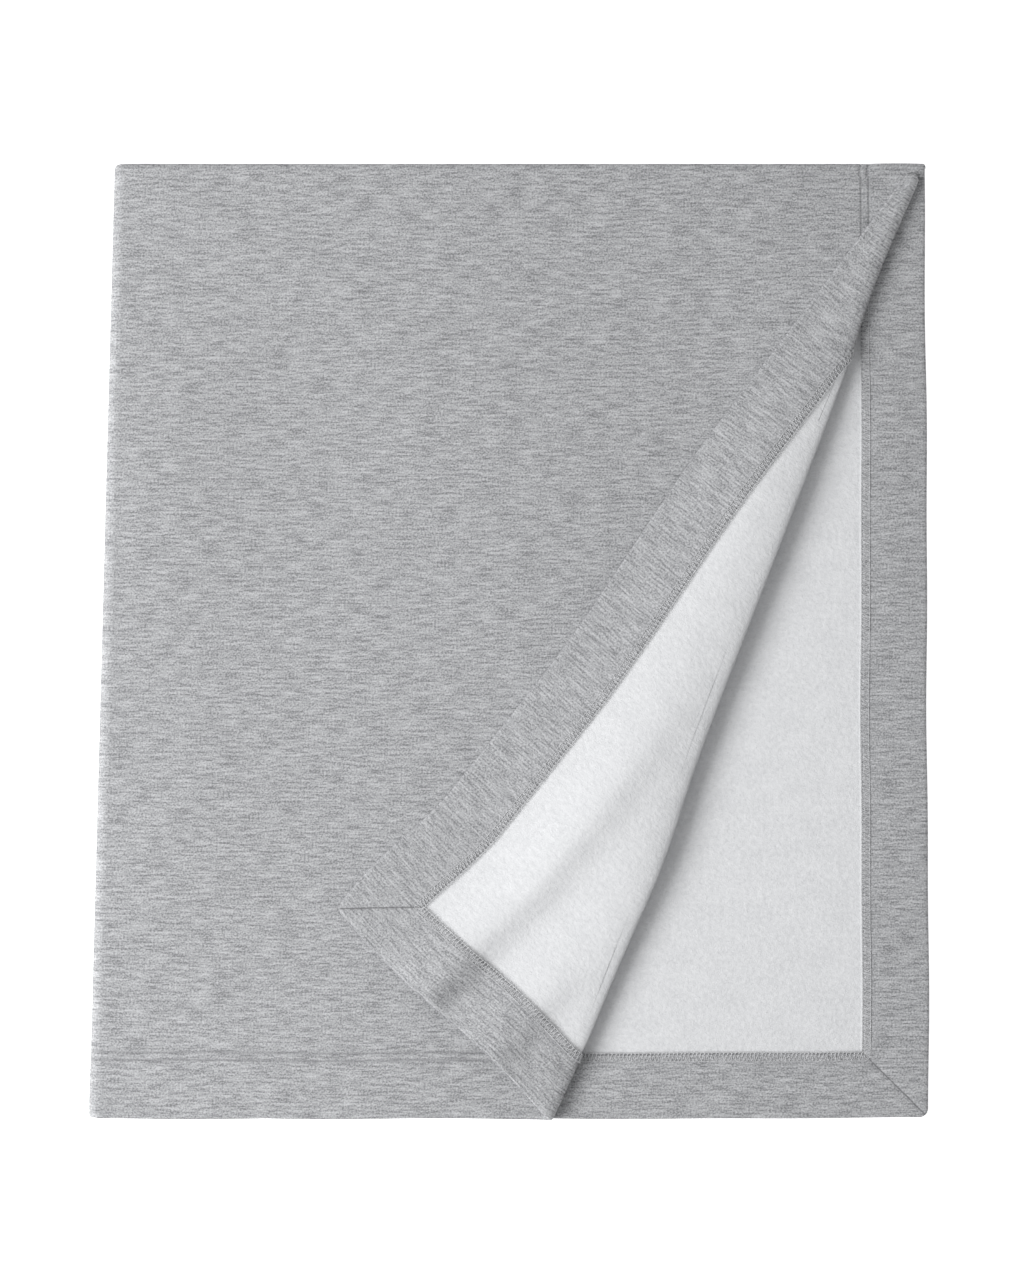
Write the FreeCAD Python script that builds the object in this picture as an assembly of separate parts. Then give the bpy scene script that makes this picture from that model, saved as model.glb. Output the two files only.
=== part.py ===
"""Folded throw blanket: a fleece-backed knit throw, hemmed on four sides and folded in quarters.

The cloth is one sheet folded twice, first along the back edge and then along the
left edge, which stacks four layers.  The front right corner of the top layer is
turned back over a diagonal crease.  Each flat panel, fold roll, turned hem, seam
and row of stitching is a body of its own.

Frame: X to the right, Y to the back, Z up.  The origin is under the middle of the
folded throw, on the surface that it lies on.  All lengths are in millimetres.
"""

import FreeCAD, Part
import math
import os

Vector = FreeCAD.Vector
UP = Vector(0, 0, 1)

# ---- driving dimensions: plan outline of the folded throw ----
BACK_LEFT = Vector(-308.0, 372.5, 0)
BACK_RIGHT = Vector(325.0, 372.5, 0)
FRONT_LEFT = Vector(-328.0, -372.5, 0)
FRONT_RIGHT = Vector(328.0, -372.5, 0)
CREASE_BACK = Vector(325.0, 372.5, 0)
CREASE_FRONT = Vector(38.0, -372.5, 0)
FLAP_CORNER = Vector(-135.0, -208.0, 0)
FLAP_TIP = Vector(316.0, 372.5, 0)

# ---- driving dimensions: cloth, hems and stitching ----
PLY = 2.2
BODY_GAP = 0.3
HEM_WIDTH = 50.8
SEAM_WIDTH = 1.2
SEAM_FIT = 0.1
SEAM_HEIGHT = 1.4
NEEDLE_ROW_OFFSETS = (45.6, 51.6)
GROOVE_WIDTH = 0.8
GROOVE_DEPTH = 0.5
THREAD_WIDTH = 0.7
THREAD_HEIGHT = 0.4
LOOPER_OUTER_OFFSET = 45.0
LOOPER_INNER_OFFSET = 50.6
LOOPER_HEIGHT = 0.35
LOOPER_SINK = 0.15
CREASE_RADIUS = 9.0
FLAP_BACK_TRIM = 26.0

# ---- heights of the plies in the stack ----
PANEL_4_Z = 0.0
RETURN_4_Z = PANEL_4_Z + PLY
RETURN_3_Z = RETURN_4_Z + PLY
PANEL_3_Z = RETURN_3_Z + PLY
PANEL_2_Z = PANEL_3_Z + PLY + BODY_GAP
RETURN_2_Z = PANEL_2_Z + PLY
RETURN_1_Z = RETURN_2_Z + PLY + BODY_GAP
PANEL_1_Z = RETURN_1_Z + PLY
STACK_TOP = PANEL_1_Z + PLY

# ---- fold rolls ----
OUTER_FOLD_RADIUS = STACK_TOP / 2
OUTER_FOLD_Z = STACK_TOP / 2
INNER_FOLD_RADIUS = (PANEL_2_Z + PLY - PANEL_3_Z) / 2
INNER_FOLD_Z = PANEL_3_Z + INNER_FOLD_RADIUS
UPPER_ROLL_RADIUS = (STACK_TOP - PANEL_2_Z) / 2
UPPER_ROLL_Z = PANEL_2_Z + UPPER_ROLL_RADIUS
LOWER_ROLL_RADIUS = (PANEL_3_Z + PLY) / 2
LOWER_ROLL_Z = LOWER_ROLL_RADIUS
CREASE_OUTER_RADIUS = CREASE_RADIUS + PLY / 2
CREASE_AXIS_Z = PANEL_1_Z + PLY / 2 + CREASE_RADIUS


class EdgeLine:
    """A plan edge of the throw, with the normal that points into the cloth."""

    def __init__(self, start, end, inside):
        self.start = start
        self.along = (end - start).normalize()
        normal = UP.cross(self.along)
        if normal.dot(inside - start) < 0:
            normal = normal * -1
        self.inward = normal

    def moved(self, inset):
        """Return a point on this edge's line after moving it inwards."""
        return self.start + self.inward * inset

    def depth(self, point):
        """Return how far a point lies inside this edge."""
        return self.inward.dot(point - self.start)

    def meet(self, inset, other, other_inset):
        """Return where this line and another one cross, each moved inwards."""
        here = self.moved(inset)
        gap = other_inset - other.depth(here)
        return here + self.along * (gap / other.inward.dot(self.along))


MIDDLE = Vector(0, 0, 0)
LEFT = EdgeLine(FRONT_LEFT, BACK_LEFT, MIDDLE)
BACK = EdgeLine(BACK_LEFT, BACK_RIGHT, MIDDLE)
RIGHT = EdgeLine(BACK_RIGHT, FRONT_RIGHT, MIDDLE)
FRONT = EdgeLine(FRONT_RIGHT, FRONT_LEFT, MIDDLE)
CREASE = EdgeLine(CREASE_BACK, CREASE_FRONT, FLAP_CORNER)
FLAP_SIDE = EdgeLine(FLAP_TIP, FLAP_CORNER, MIDDLE + CREASE_FRONT)
FLAP_FRONT = EdgeLine(FLAP_CORNER, CREASE_FRONT, Vector(100, 0, 0))


def slab(points, bottom, height):
    """Return a flat plate over a plan polygon."""
    corners = [Vector(p.x, p.y, bottom) for p in points]
    wire = Part.makePolygon(corners + corners[:1])
    return Part.Face(wire).extrude(Vector(0, 0, height))


def ring_sector(outer, inner, length, start_deg, sweep_deg):
    """Return part of a tube along local Z, cut to an arc about that axis."""
    solid = Part.makeCylinder(outer, length, Vector(0, 0, 0), UP, sweep_deg)
    if inner > 0:
        solid = solid.cut(Part.makeCylinder(inner, length, Vector(0, 0, 0), UP, 360))
    solid.rotate(Vector(0, 0, 0), UP, start_deg)
    return solid


def place_roll(solid, origin, outward):
    """Lay a local-Z roll on a line, with local X outward and local Y up."""
    along = outward.cross(UP)
    rotation = FreeCAD.Rotation(outward, UP, along, "ZXY")
    solid.Placement = FreeCAD.Placement(origin, rotation).multiply(solid.Placement)
    return solid


def fold_roll(start, end, height, outward, outer, inner, sweep_deg=180.0):
    """Return a fold roll between two plan points, starting at its lowest line."""
    length = (end - start).Length
    solid = ring_sector(outer, inner, length, -90.0, sweep_deg)
    return place_roll(solid, Vector(start.x, start.y, height), outward)


def strip(edge, near, far, edge_a, inset_a, edge_b, inset_b, bottom, height):
    """Return a straight strip that follows an edge between two other edges."""
    points = [
        edge.meet(near, edge_a, inset_a),
        edge.meet(near, edge_b, inset_b),
        edge.meet(far, edge_b, inset_b),
        edge.meet(far, edge_a, inset_a),
    ]
    return slab(points, bottom, height)


def save(name, solid):
    """Write one node to its own file."""
    solid.exportStep("parts/" + name + ".step")


def panel_points(back_inset):
    """Return the plan polygon of a full quarter panel inside its folds and hems."""
    fold = OUTER_FOLD_RADIUS
    return [
        LEFT.meet(fold, FRONT, PLY),
        RIGHT.meet(PLY, FRONT, PLY),
        RIGHT.meet(PLY, BACK, back_inset),
        LEFT.meet(fold, BACK, back_inset),
    ]


def mitred_return(edge, other, back_edge, back_inset, bottom):
    """Return a hem's inner ply: a strip cut at 45 degrees where it meets the next hem."""
    half_seam = SEAM_WIDTH / math.sqrt(2)
    points = [
        edge.meet(PLY, back_edge, back_inset),
        edge.meet(PLY, other, PLY + half_seam),
        edge.meet(HEM_WIDTH, other, HEM_WIDTH + half_seam),
        edge.meet(HEM_WIDTH, back_edge, back_inset),
    ]
    return slab(points, bottom, PLY)


def hem_edge(edge, other, back_edge, back_inset, middle_z):
    """Return the rounded outer edge that joins a panel to its hem's inner ply."""
    ends = [edge.meet(PLY, back_edge, back_inset), edge.meet(PLY, other, PLY)]
    outward = edge.inward * -1
    along = outward.cross(UP)
    ends.sort(key=lambda p: p.dot(along))
    return fold_roll(ends[0], ends[1], middle_z, outward, PLY, 0.0)


def mitre_seam(edge, other, bottom):
    """Return the narrow seam that runs in from a mitred corner."""
    outer = edge.meet(PLY + 2, other, PLY + 2)
    inner = edge.meet(HEM_WIDTH - 1, other, HEM_WIDTH - 1)
    side = UP.cross(inner - outer).normalize() * ((SEAM_WIDTH - SEAM_FIT) / 2)
    return slab([outer - side, inner - side, inner + side, outer + side], bottom, SEAM_HEIGHT)


def needle_rows(edge, edge_a, inset_a, edge_b, inset_b, face_z, direction):
    """Return the grooves and the threads of the two needle rows on a panel's knit face.

    The direction is +1 where the knit face looks up and -1 where it looks down.
    """
    grooves, threads = [], []
    for offset in NEEDLE_ROW_OFFSETS:
        groove_z = face_z - GROOVE_DEPTH if direction > 0 else face_z
        thread_z = groove_z if direction > 0 else face_z + GROOVE_DEPTH - THREAD_HEIGHT
        wide, thin = GROOVE_WIDTH / 2, THREAD_WIDTH / 2
        run = (edge_a, inset_a, edge_b, inset_b)
        grooves.append(strip(edge, offset - wide, offset + wide, *run, groove_z, GROOVE_DEPTH))
        threads.append(strip(edge, offset - thin, offset + thin, *run, thread_z, THREAD_HEIGHT))
    return grooves, threads


def looper_rows(edge, edge_a, inset_a, edge_b, inset_b, face_z, direction):
    """Return the groove and the thread band of the looper on a hem's inner ply."""
    run = (edge_a, inset_a, edge_b, inset_b)
    bottom = face_z - LOOPER_SINK - LOOPER_HEIGHT if direction > 0 else face_z + LOOPER_SINK
    depth = LOOPER_SINK + LOOPER_HEIGHT
    groove_z = face_z - depth if direction > 0 else face_z
    groove = strip(edge, LOOPER_OUTER_OFFSET, HEM_WIDTH + 1, *run, groove_z, depth)
    band = strip(edge, LOOPER_OUTER_OFFSET + 0.1, LOOPER_INNER_OFFSET, *run, bottom, LOOPER_HEIGHT)
    return groove, band


def cut_all(solid, tools):
    """Return a solid with each of the tools cut away."""
    for tool in tools:
        solid = solid.cut(tool)
    return solid


def build_full_layer(number, panel_z, return_z, knit_up, back_inset):
    """Write a full quarter layer: its panel, two hems, mitre seam and stitching."""
    name = "layer_%d" % number
    knit = 1 if knit_up else -1
    knit_z = panel_z + PLY if knit_up else panel_z
    fleece_z = return_z if knit_up else return_z + PLY
    middle_z = max(panel_z, return_z)
    fold = OUTER_FOLD_RADIUS
    panel = slab(panel_points(back_inset), panel_z, PLY)
    hems = {
        "side": (RIGHT, FRONT, BACK, back_inset),
        "front": (FRONT, RIGHT, LEFT, fold),
    }
    for hem_name, (edge, other, far_edge, far_inset) in hems.items():
        inset = HEM_WIDTH + 1.5
        grooves, threads = needle_rows(edge, far_edge, far_inset, other, inset, knit_z, knit)
        panel = cut_all(panel, grooves)
        save("%s_%s_needle_threads" % (name, hem_name), Part.makeCompound(threads))
        inner_ply = mitred_return(edge, other, far_edge, far_inset, return_z)
        rounded = hem_edge(edge, other, far_edge, far_inset, middle_z)
        groove, band = looper_rows(edge, far_edge, far_inset, other, inset, fleece_z, -knit)
        hem = inner_ply.cut(groove).fuse(rounded)
        if hem_name == "front":
            hem = hem.cut(RIGHT_EDGE_KEEP_OUT)
        save("%s_%s_hem" % (name, hem_name), hem.removeSplitter())
        save("%s_%s_looper_threads" % (name, hem_name), band)
    save(name + "_panel", panel)
    seam_z = return_z if not knit_up else return_z + PLY - SEAM_HEIGHT
    save(name + "_mitre_seam", mitre_seam(RIGHT, FRONT, seam_z))


def build_back_roll(name, radius, middle_z):
    """Write the roll that joins two layers along the back edge, hem plies included."""
    start = LEFT.meet(OUTER_FOLD_RADIUS, BACK, radius)
    end = RIGHT.meet(PLY, BACK, radius)
    outward = BACK.inward * -1
    roll = fold_roll(start, end, middle_z, outward, radius, radius - PLY)
    hem_start = RIGHT.meet(HEM_WIDTH, BACK, radius)
    core = fold_roll(hem_start, end, middle_z, outward, radius - PLY, 0.0)
    save(name, roll.fuse(core).removeSplitter())


def build_left_rolls():
    """Write the two nested rolls along the left edge and their hem plies."""
    outward = LEFT.inward * -1
    fold = OUTER_FOLD_RADIUS
    front = LEFT.meet(fold, FRONT, PLY)
    hem_end = LEFT.meet(fold, FRONT, HEM_WIDTH)
    back_outer = LEFT.meet(fold, BACK, UPPER_ROLL_RADIUS)
    inner = INNER_FOLD_RADIUS
    rolls = {
        "left_fold_outer": (back_outer, OUTER_FOLD_Z, fold, fold - PLY),
        "left_fold_outer_hem": (hem_end, OUTER_FOLD_Z, fold - PLY, fold - 2 * PLY),
        "left_fold_inner": (back_outer, INNER_FOLD_Z, inner, inner - PLY),
        "left_fold_inner_hem": (hem_end, INNER_FOLD_Z, inner + PLY, inner),
    }
    for name, (end, height, outer, hollow) in rolls.items():
        save(name, fold_roll(front, end, height, outward, outer, hollow))


def flap_tilt_deg():
    """Return the slope that brings the flap's corner down onto the top layer."""
    reach = CREASE.depth(FLAP_CORNER) - CREASE_OUTER_RADIUS
    lift = CREASE_RADIUS
    drop = CREASE_AXIS_Z - (STACK_TOP + BODY_GAP + PLY / 2)
    distance = math.hypot(reach, drop)
    return math.degrees(math.asin(lift / distance) + math.atan2(drop, reach))


def tilt_flap(solid, tilt_deg):
    """Turn a level flap piece down about the crease axis."""
    turned = solid.copy()
    axis_point = CREASE.moved(CREASE_OUTER_RADIUS)
    centre = Vector(axis_point.x, axis_point.y, CREASE_AXIS_Z)
    turned.rotate(centre, CREASE.along, tilt_deg)
    return turned


def build_top_layer(tilt_deg):
    """Write the top layer left of the crease, with its piece of front hem."""
    crease_inset = CREASE_OUTER_RADIUS + BODY_GAP
    fold = OUTER_FOLD_RADIUS
    points = [
        LEFT.meet(fold, FRONT, PLY),
        CREASE.meet(crease_inset, FRONT, PLY),
        CREASE.meet(crease_inset, BACK, UPPER_ROLL_RADIUS),
        LEFT.meet(fold, BACK, UPPER_ROLL_RADIUS),
    ]
    run = (LEFT, fold, CREASE, crease_inset)
    grooves, threads = needle_rows(FRONT, *run, STACK_TOP, 1)
    save("layer_1_panel", cut_all(slab(points, PANEL_1_Z, PLY), grooves))
    save("layer_1_front_needle_threads", Part.makeCompound(threads))
    inner_ply = strip(FRONT, PLY, HEM_WIDTH, *run, RETURN_1_Z, PLY)
    groove, band = looper_rows(FRONT, *run, RETURN_1_Z, -1)
    rounded = hem_edge(FRONT, CREASE, LEFT, fold, PANEL_1_Z)
    rounded = rounded.cut(slab(crease_side_plan(crease_inset), 0, 100))
    save("layer_1_front_hem", inner_ply.cut(groove).fuse(rounded).removeSplitter())
    save("layer_1_front_looper_threads", band)
    build_crease_roll(tilt_deg)


def crease_side_plan(inset):
    """Return a large plan polygon that covers all that lies right of the crease line."""
    far = CREASE.inward * -600
    back = CREASE.meet(inset, BACK, -100)
    front = CREASE.meet(inset, FRONT, -100)
    return [back, front, front + far, back + far]


def build_crease_roll(tilt_deg):
    """Write the soft roll along the diagonal crease, on past its top by the flap's slope."""
    start = CREASE.meet(CREASE_OUTER_RADIUS, BACK, FLAP_BACK_TRIM)
    end = CREASE.meet(CREASE_OUTER_RADIUS, FRONT, PLY)
    outward = CREASE.inward * -1
    inner = CREASE_OUTER_RADIUS - PLY
    roll = fold_roll(start, end, CREASE_AXIS_Z, outward, CREASE_OUTER_RADIUS, inner, 180.0 + tilt_deg)
    save("crease_fold", roll)


def build_flap(tilt_deg):
    """Write the turned-back corner: panel, two hems, mitre seam and stitching."""
    crease_inset = CREASE_OUTER_RADIUS + BODY_GAP
    panel_z = CREASE_AXIS_Z + CREASE_RADIUS - PLY / 2
    return_z = panel_z + PLY
    fleece_z = return_z + PLY
    trimmed = FLAP_SIDE.meet(PLY, BACK, FLAP_BACK_TRIM)
    points = [
        trimmed,
        CREASE.meet(crease_inset, BACK, FLAP_BACK_TRIM),
        CREASE.meet(crease_inset, FLAP_FRONT, PLY),
        FLAP_SIDE.meet(PLY, FLAP_FRONT, PLY),
    ]
    panel = slab(points, panel_z, PLY)
    keep_out = slab(crease_side_plan(crease_inset), 0, 100)
    hems = {
        "side": (FLAP_SIDE, FLAP_FRONT, BACK, FLAP_BACK_TRIM),
        "front": (FLAP_FRONT, FLAP_SIDE, CREASE, crease_inset),
    }
    for hem_name, (edge, other, far_edge, far_inset) in hems.items():
        inset = HEM_WIDTH + 1.5
        grooves, threads = needle_rows(edge, far_edge, far_inset, other, inset, panel_z, -1)
        panel = cut_all(panel, grooves)
        rows = [tilt_flap(row.cut(keep_out), tilt_deg) for row in threads]
        save("flap_%s_needle_threads" % hem_name, Part.makeCompound(rows))
        inner_ply = mitred_return(edge, other, far_edge, far_inset, return_z)
        groove, band = looper_rows(edge, far_edge, far_inset, other, inset, fleece_z, 1)
        rounded = hem_edge(edge, other, far_edge, far_inset, return_z)
        hem = inner_ply.cut(groove).fuse(rounded).cut(keep_out)
        if hem_name == "front":
            hem = hem.cut(strip(FLAP_SIDE, -30, PLY, BACK, 0, FLAP_FRONT, -40, 0, 100))
        save("flap_%s_hem" % hem_name, tilt_flap(hem.removeSplitter(), tilt_deg))
        save("flap_%s_looper_threads" % hem_name, tilt_flap(band.cut(keep_out), tilt_deg))
    save("flap_panel", tilt_flap(panel.cut(keep_out), tilt_deg))
    seam = mitre_seam(FLAP_SIDE, FLAP_FRONT, return_z + PLY - SEAM_HEIGHT)
    save("flap_mitre_seam", tilt_flap(seam, tilt_deg))


RIGHT_EDGE_KEEP_OUT = strip(RIGHT, -30, PLY, BACK, 0, FRONT, -40, -1, 60)


def main():
    """Build every node of the folded throw."""
    os.makedirs("parts", exist_ok=True)
    tilt = flap_tilt_deg()
    build_full_layer(4, PANEL_4_Z, RETURN_4_Z, False, LOWER_ROLL_RADIUS)
    build_full_layer(3, PANEL_3_Z, RETURN_3_Z, True, LOWER_ROLL_RADIUS)
    build_full_layer(2, PANEL_2_Z, RETURN_2_Z, False, UPPER_ROLL_RADIUS)
    build_back_roll("lower_back_fold", LOWER_ROLL_RADIUS, LOWER_ROLL_Z)
    build_back_roll("upper_back_fold", UPPER_ROLL_RADIUS, UPPER_ROLL_Z)
    build_left_rolls()
    build_top_layer(tilt)
    build_flap(tilt)


main()
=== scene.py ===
"""Folded throw blanket, built as one folded cloth with its hems and stitching.

The throw is one sheet of fleece-backed knit.  It is folded in half along the back
edge, then in half along the left edge, and the front right corner of the top layer
is turned back over a diagonal crease.  All lengths are in metres.
"""

from __future__ import annotations

import logging
import math
from dataclasses import dataclass, field
from enum import Enum
from functools import partial

import bmesh
import bpy
import numpy as np
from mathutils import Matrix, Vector


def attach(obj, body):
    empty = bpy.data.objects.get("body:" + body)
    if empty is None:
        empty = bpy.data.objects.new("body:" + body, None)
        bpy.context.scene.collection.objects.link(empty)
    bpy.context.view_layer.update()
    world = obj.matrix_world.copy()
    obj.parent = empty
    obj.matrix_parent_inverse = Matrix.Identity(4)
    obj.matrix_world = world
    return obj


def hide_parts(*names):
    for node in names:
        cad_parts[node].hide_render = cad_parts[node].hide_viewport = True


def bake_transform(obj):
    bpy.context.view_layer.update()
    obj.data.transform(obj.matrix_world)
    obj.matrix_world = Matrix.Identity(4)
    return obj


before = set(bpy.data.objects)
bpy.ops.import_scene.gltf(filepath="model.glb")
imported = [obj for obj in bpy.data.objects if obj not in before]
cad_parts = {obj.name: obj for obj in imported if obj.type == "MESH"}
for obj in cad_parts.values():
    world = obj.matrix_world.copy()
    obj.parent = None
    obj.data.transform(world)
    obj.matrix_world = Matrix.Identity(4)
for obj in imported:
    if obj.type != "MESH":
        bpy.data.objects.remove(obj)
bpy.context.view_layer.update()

LOG = logging.getLogger("throw")


class Body(Enum):
    """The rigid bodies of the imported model."""

    LOWER = "lower_pair"
    UPPER = "upper_pair"
    FLAP = "corner_flap"


class Layer(Enum):
    """The four layers of the folded throw, counted from the top."""

    TOP = 1
    SECOND = 2
    THIRD = 3
    BOTTOM = 4


class Pair(Enum):
    """Two layers that the back fold joins."""

    UPPER = "upper"
    LOWER = "lower"


class ClothSide(Enum):
    """The two faces of the cloth."""

    KNIT = 0
    FLEECE = 1


@dataclass(frozen=True)
class ClothSizes:
    """Thickness of the cloth and the make of its hems."""

    ply: float = 0.0022
    hem_width: float = 0.0508
    hem_step: float = 0.0010
    corner_radius: float = 0.0075
    needle_rows: tuple[float, float] = (0.0456, 0.0516)
    looper_middle: float = 0.0484
    looper_width: float = 0.0066
    groove_depth: float = 0.00035
    groove_width: float = 0.0010
    hem_plump: float = 0.0004
    mitre_depth: float = 0.0009
    mitre_width: float = 0.0013


@dataclass(frozen=True)
class PlanSizes:
    """Plan outline of the folded throw and of its turned-back corner."""

    front_y: float = -0.3725
    back_y: float = 0.3725
    left_front_x: float = -0.328
    left_back_x: float = -0.308
    right_front_x: float = 0.328
    right_back_x: float = 0.325
    crease_back: tuple[float, float] = (0.325, 0.3725)
    crease_front: tuple[float, float] = (0.038, -0.3725)
    flap_tip: tuple[float, float] = (0.316, 0.3725)
    flap_corner: tuple[float, float] = (-0.135, -0.208)
    flap_side_bow: float = 0.0040
    flap_side_dip: float = 0.0125
    nominal_width: float = 0.6355


@dataclass(frozen=True)
class StackSizes:
    """Heights of the layers and radii of the rolls along the folds."""

    half_pair: float = 0.00335
    lower_middle: float = 0.00445
    upper_middle: float = 0.0137
    crease_radius_front: float = 0.0090
    crease_radius_tip: float = 0.0018
    crease_taper: float = 0.075
    flap_start: float = 0.362
    roll_margin: float = 0.001


@dataclass(frozen=True)
class RestSizes:
    """How the stack settles on the floor: its sag, its ripples and its corner ridge."""

    sag: float = 0.30
    ripples: tuple[tuple[float, float, float, float], ...] = (
        (0.00045, 21.0, 9.0, 0.6),
        (0.0004, 13.0, -17.0, 2.1),
        (0.0003, 5.0, 31.0, 1.0),
    )
    ripple_edge: float = 0.06
    pull_height: float = 0.0019
    pull_width: float = 0.017
    pull_direction: tuple[float, float] = (0.86, 0.51)


@dataclass(frozen=True)
class BendHeights:
    """Heights for where a fold's cloth changes from one body's motion to the other's; they are passed
    along, but nothing bends the cloth by them.
    """

    crease: tuple[float, float] = (0.0208, 0.0335)
    left_outer: tuple[float, float] = (0.0022, 0.0160)
    left_inner: tuple[float, float] = (0.0069, 0.0113)


CLOTH = ClothSizes()
PLAN = PlanSizes()
STACK = StackSizes()
REST = RestSizes()
BEND = BendHeights()
EDGE_INSETS = {
    Layer.TOP: 0.0011,
    Layer.SECOND: 0.0004,
    Layer.THIRD: 0.0019,
    Layer.BOTTOM: 0.0009,
}
EDGE_FADE = 0.5
WALE_WAVE = (5300.0, 5.0)
COURSE_WAVE = (6900.0, 4.0)


def smooth(value: np.ndarray, low: float, high: float) -> np.ndarray:
    """Return a smooth rise from 0 at low to 1 at high."""
    t = np.clip((value - low) / (high - low), 0.0, 1.0)
    return t * t * (3.0 - 2.0 * t)


def bump(value: np.ndarray, middle: float, width: float) -> np.ndarray:
    """Return a bell curve of height 1."""
    return np.exp(-(((value - middle) / width) ** 2))


def spaced(marks: list[float], pitch: float) -> np.ndarray:
    """Return a rising list of stations that includes every mark.

    Args:
        marks: Rising values that must be kept.
        pitch: The widest step allowed between two stations.

    Returns:
        The stations, with each gap between marks divided evenly.
    """
    stations = [marks[0]]
    for start, end in zip(marks, marks[1:]):
        steps = max(1, math.ceil((end - start) / pitch - 1e-6))
        stations.extend(start + (end - start) * (i + 1) / steps for i in range(steps))
    return np.array(stations)


def hem_stations(total: float, pitch: float) -> np.ndarray:
    """Return stations from a hemmed edge inwards, fine at the edge and over the hem.

    Args:
        total: Distance from the edge to the last station.
        pitch: Step size over the plain cloth past the hem.

    Returns:
        Distances from the edge.
    """
    ply, hem, step = CLOTH.ply, CLOTH.hem_width, CLOTH.hem_step
    edge = [ply * f for f in (0.0, 0.03, 0.12, 0.3, 0.6, 1.0)]
    band = list(spaced([ply, hem - step / 2], 0.00175))[1:]
    past = [hem + step / 2, hem + 0.0025, hem + 0.005, hem + 0.009]
    return np.concatenate([edge, band, past, spaced([past[-1], total], pitch)[1:]])


@dataclass
class Samples:
    """Points on the middle of the cloth, with what is needed to give it thickness."""

    place: np.ndarray
    normal: np.ndarray
    cloth: np.ndarray
    hem: np.ndarray
    end: np.ndarray = field(default_factory=lambda: np.array(1.0))

    def offset(self, side: ClothSide) -> np.ndarray:
        """Return how far a face lies from the middle of the cloth, along the knit normal."""
        ply = CLOTH.ply
        side_edge, front_edge = self.hem[..., 0], self.hem[..., 1]
        nearest = np.minimum(side_edge, front_edge)
        close = rounding(side_edge) * rounding(front_edge) * self.end
        plump = CLOTH.hem_plump * np.sin(math.pi * np.clip(nearest / CLOTH.needle_rows[0], 0, 1))
        if side is ClothSide.KNIT:
            grooves = sum(
                bump(edge, row, CLOTH.groove_width)
                for edge in (side_edge, front_edge)
                for row in CLOTH.needle_rows
            )
            return ply / 2 - ply * (1 - close) + (plump - CLOTH.groove_depth * grooves) * close
        half = CLOTH.hem_step / 2
        band = 1.0 - smooth(nearest, CLOTH.hem_width - half, CLOTH.hem_width + half)
        mitre = bump(side_edge - front_edge, 0.0, CLOTH.mitre_width)
        return -ply / 2 - close * band * (ply + plump - CLOTH.mitre_depth * mitre)

    def face(self, side: ClothSide) -> np.ndarray:
        """Return the points of one face of the cloth."""
        return settle(self.place + self.normal * self.offset(side)[..., None])


def rounding(distance: np.ndarray) -> np.ndarray:
    """Return the half-round profile of a turned edge, 0 at the edge and 1 past its radius."""
    t = np.clip(distance / CLOTH.ply, 0.0, 1.0)
    return np.sqrt(np.clip(1.0 - (1.0 - t) ** 2, 0.0, 1.0))


def settle(place: np.ndarray) -> np.ndarray:
    """Let the stack sink between its thick edges and ripple a little.

    Args:
        place: Points of the unsettled stack, with xyz on the last axis.

    Returns:
        The same points, each moved up or down only.
    """
    x, y, z = place[..., 0], place[..., 1], place[..., 2]
    left, right = left_edge_x(y), right_edge_x(y)
    inside = smooth(x - left, 0.012, 0.17) * smooth(right - x, 0.045, 0.19)
    inside = inside * smooth(PLAN.back_y - y, 0.006, 0.15) * smooth(y - PLAN.front_y, 0.045, 0.18)
    ripple = sum(tall * np.sin(a * x + b * y + start) for tall, a, b, start in REST.ripples)
    reach = REST.ripple_edge
    ripple = ripple * smooth(x - left, 0.0, reach) * smooth(PLAN.back_y - y, 0.0, reach)
    ripple = ripple + corner_pull(x - left, PLAN.back_y - y)
    top = STACK.upper_middle + STACK.half_pair + CLOTH.ply / 2
    level = np.minimum(z, top)
    sunk = level * (1.0 - REST.sag * inside) + ripple * np.clip(level / top, 0, 1)
    return np.stack([x, y, np.maximum(sunk + (z - level), 0.0)], axis=-1)


def corner_pull(from_left: np.ndarray, from_back: np.ndarray) -> np.ndarray:
    """Return the soft ridge that both folds pull out of the back left corner."""
    run, rise = REST.pull_direction
    along = from_left * run + from_back * rise
    across = from_back * run - from_left * rise
    fade = smooth(along, 0.0, 0.03) * (1.0 - smooth(along, 0.08, 0.34))
    return REST.pull_height * bump(across, 0.0, REST.pull_width) * fade


def along_y(y: np.ndarray, front: float, back: float) -> np.ndarray:
    """Return a value that runs evenly from the front edge to the back edge."""
    t = (y - PLAN.front_y) / (PLAN.back_y - PLAN.front_y)
    return front + (back - front) * t


def left_edge_x(y: np.ndarray) -> np.ndarray:
    """Return where the left edge is."""
    return along_y(y, PLAN.left_front_x, PLAN.left_back_x)


def right_edge_x(y: np.ndarray) -> np.ndarray:
    """Return where the right edge is."""
    return along_y(y, PLAN.right_front_x, PLAN.right_back_x)


def plan_x(across: np.ndarray, y: np.ndarray) -> np.ndarray:
    """Return the plan place of a point that lies some way across from the left fold."""
    fold = left_edge_x(y) + fold_radius() + STACK.half_pair + CLOTH.ply / 2
    stretch = (right_edge_x(y) - fold) / PLAN.nominal_width
    return fold + np.where(across < 0, across, across * stretch)


def fold_radius() -> float:
    """Return the radius of the middle of the roll along the left fold."""
    return (STACK.upper_middle - STACK.lower_middle) / 2


def back_axis_y() -> float:
    """Return where the rolls along the back edge are centred."""
    return PLAN.back_y - STACK.half_pair - CLOTH.ply / 2


def depth() -> float:
    """Return the distance from the front edge to the centre of the back rolls."""
    return back_axis_y() - PLAN.front_y


def cloth_row(front: np.ndarray, outer: bool) -> np.ndarray:
    """Return the cloth coordinate along the throw's length for a distance from the front edge."""
    if outer:
        return front - depth()
    return depth() - front + math.pi * STACK.half_pair


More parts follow.
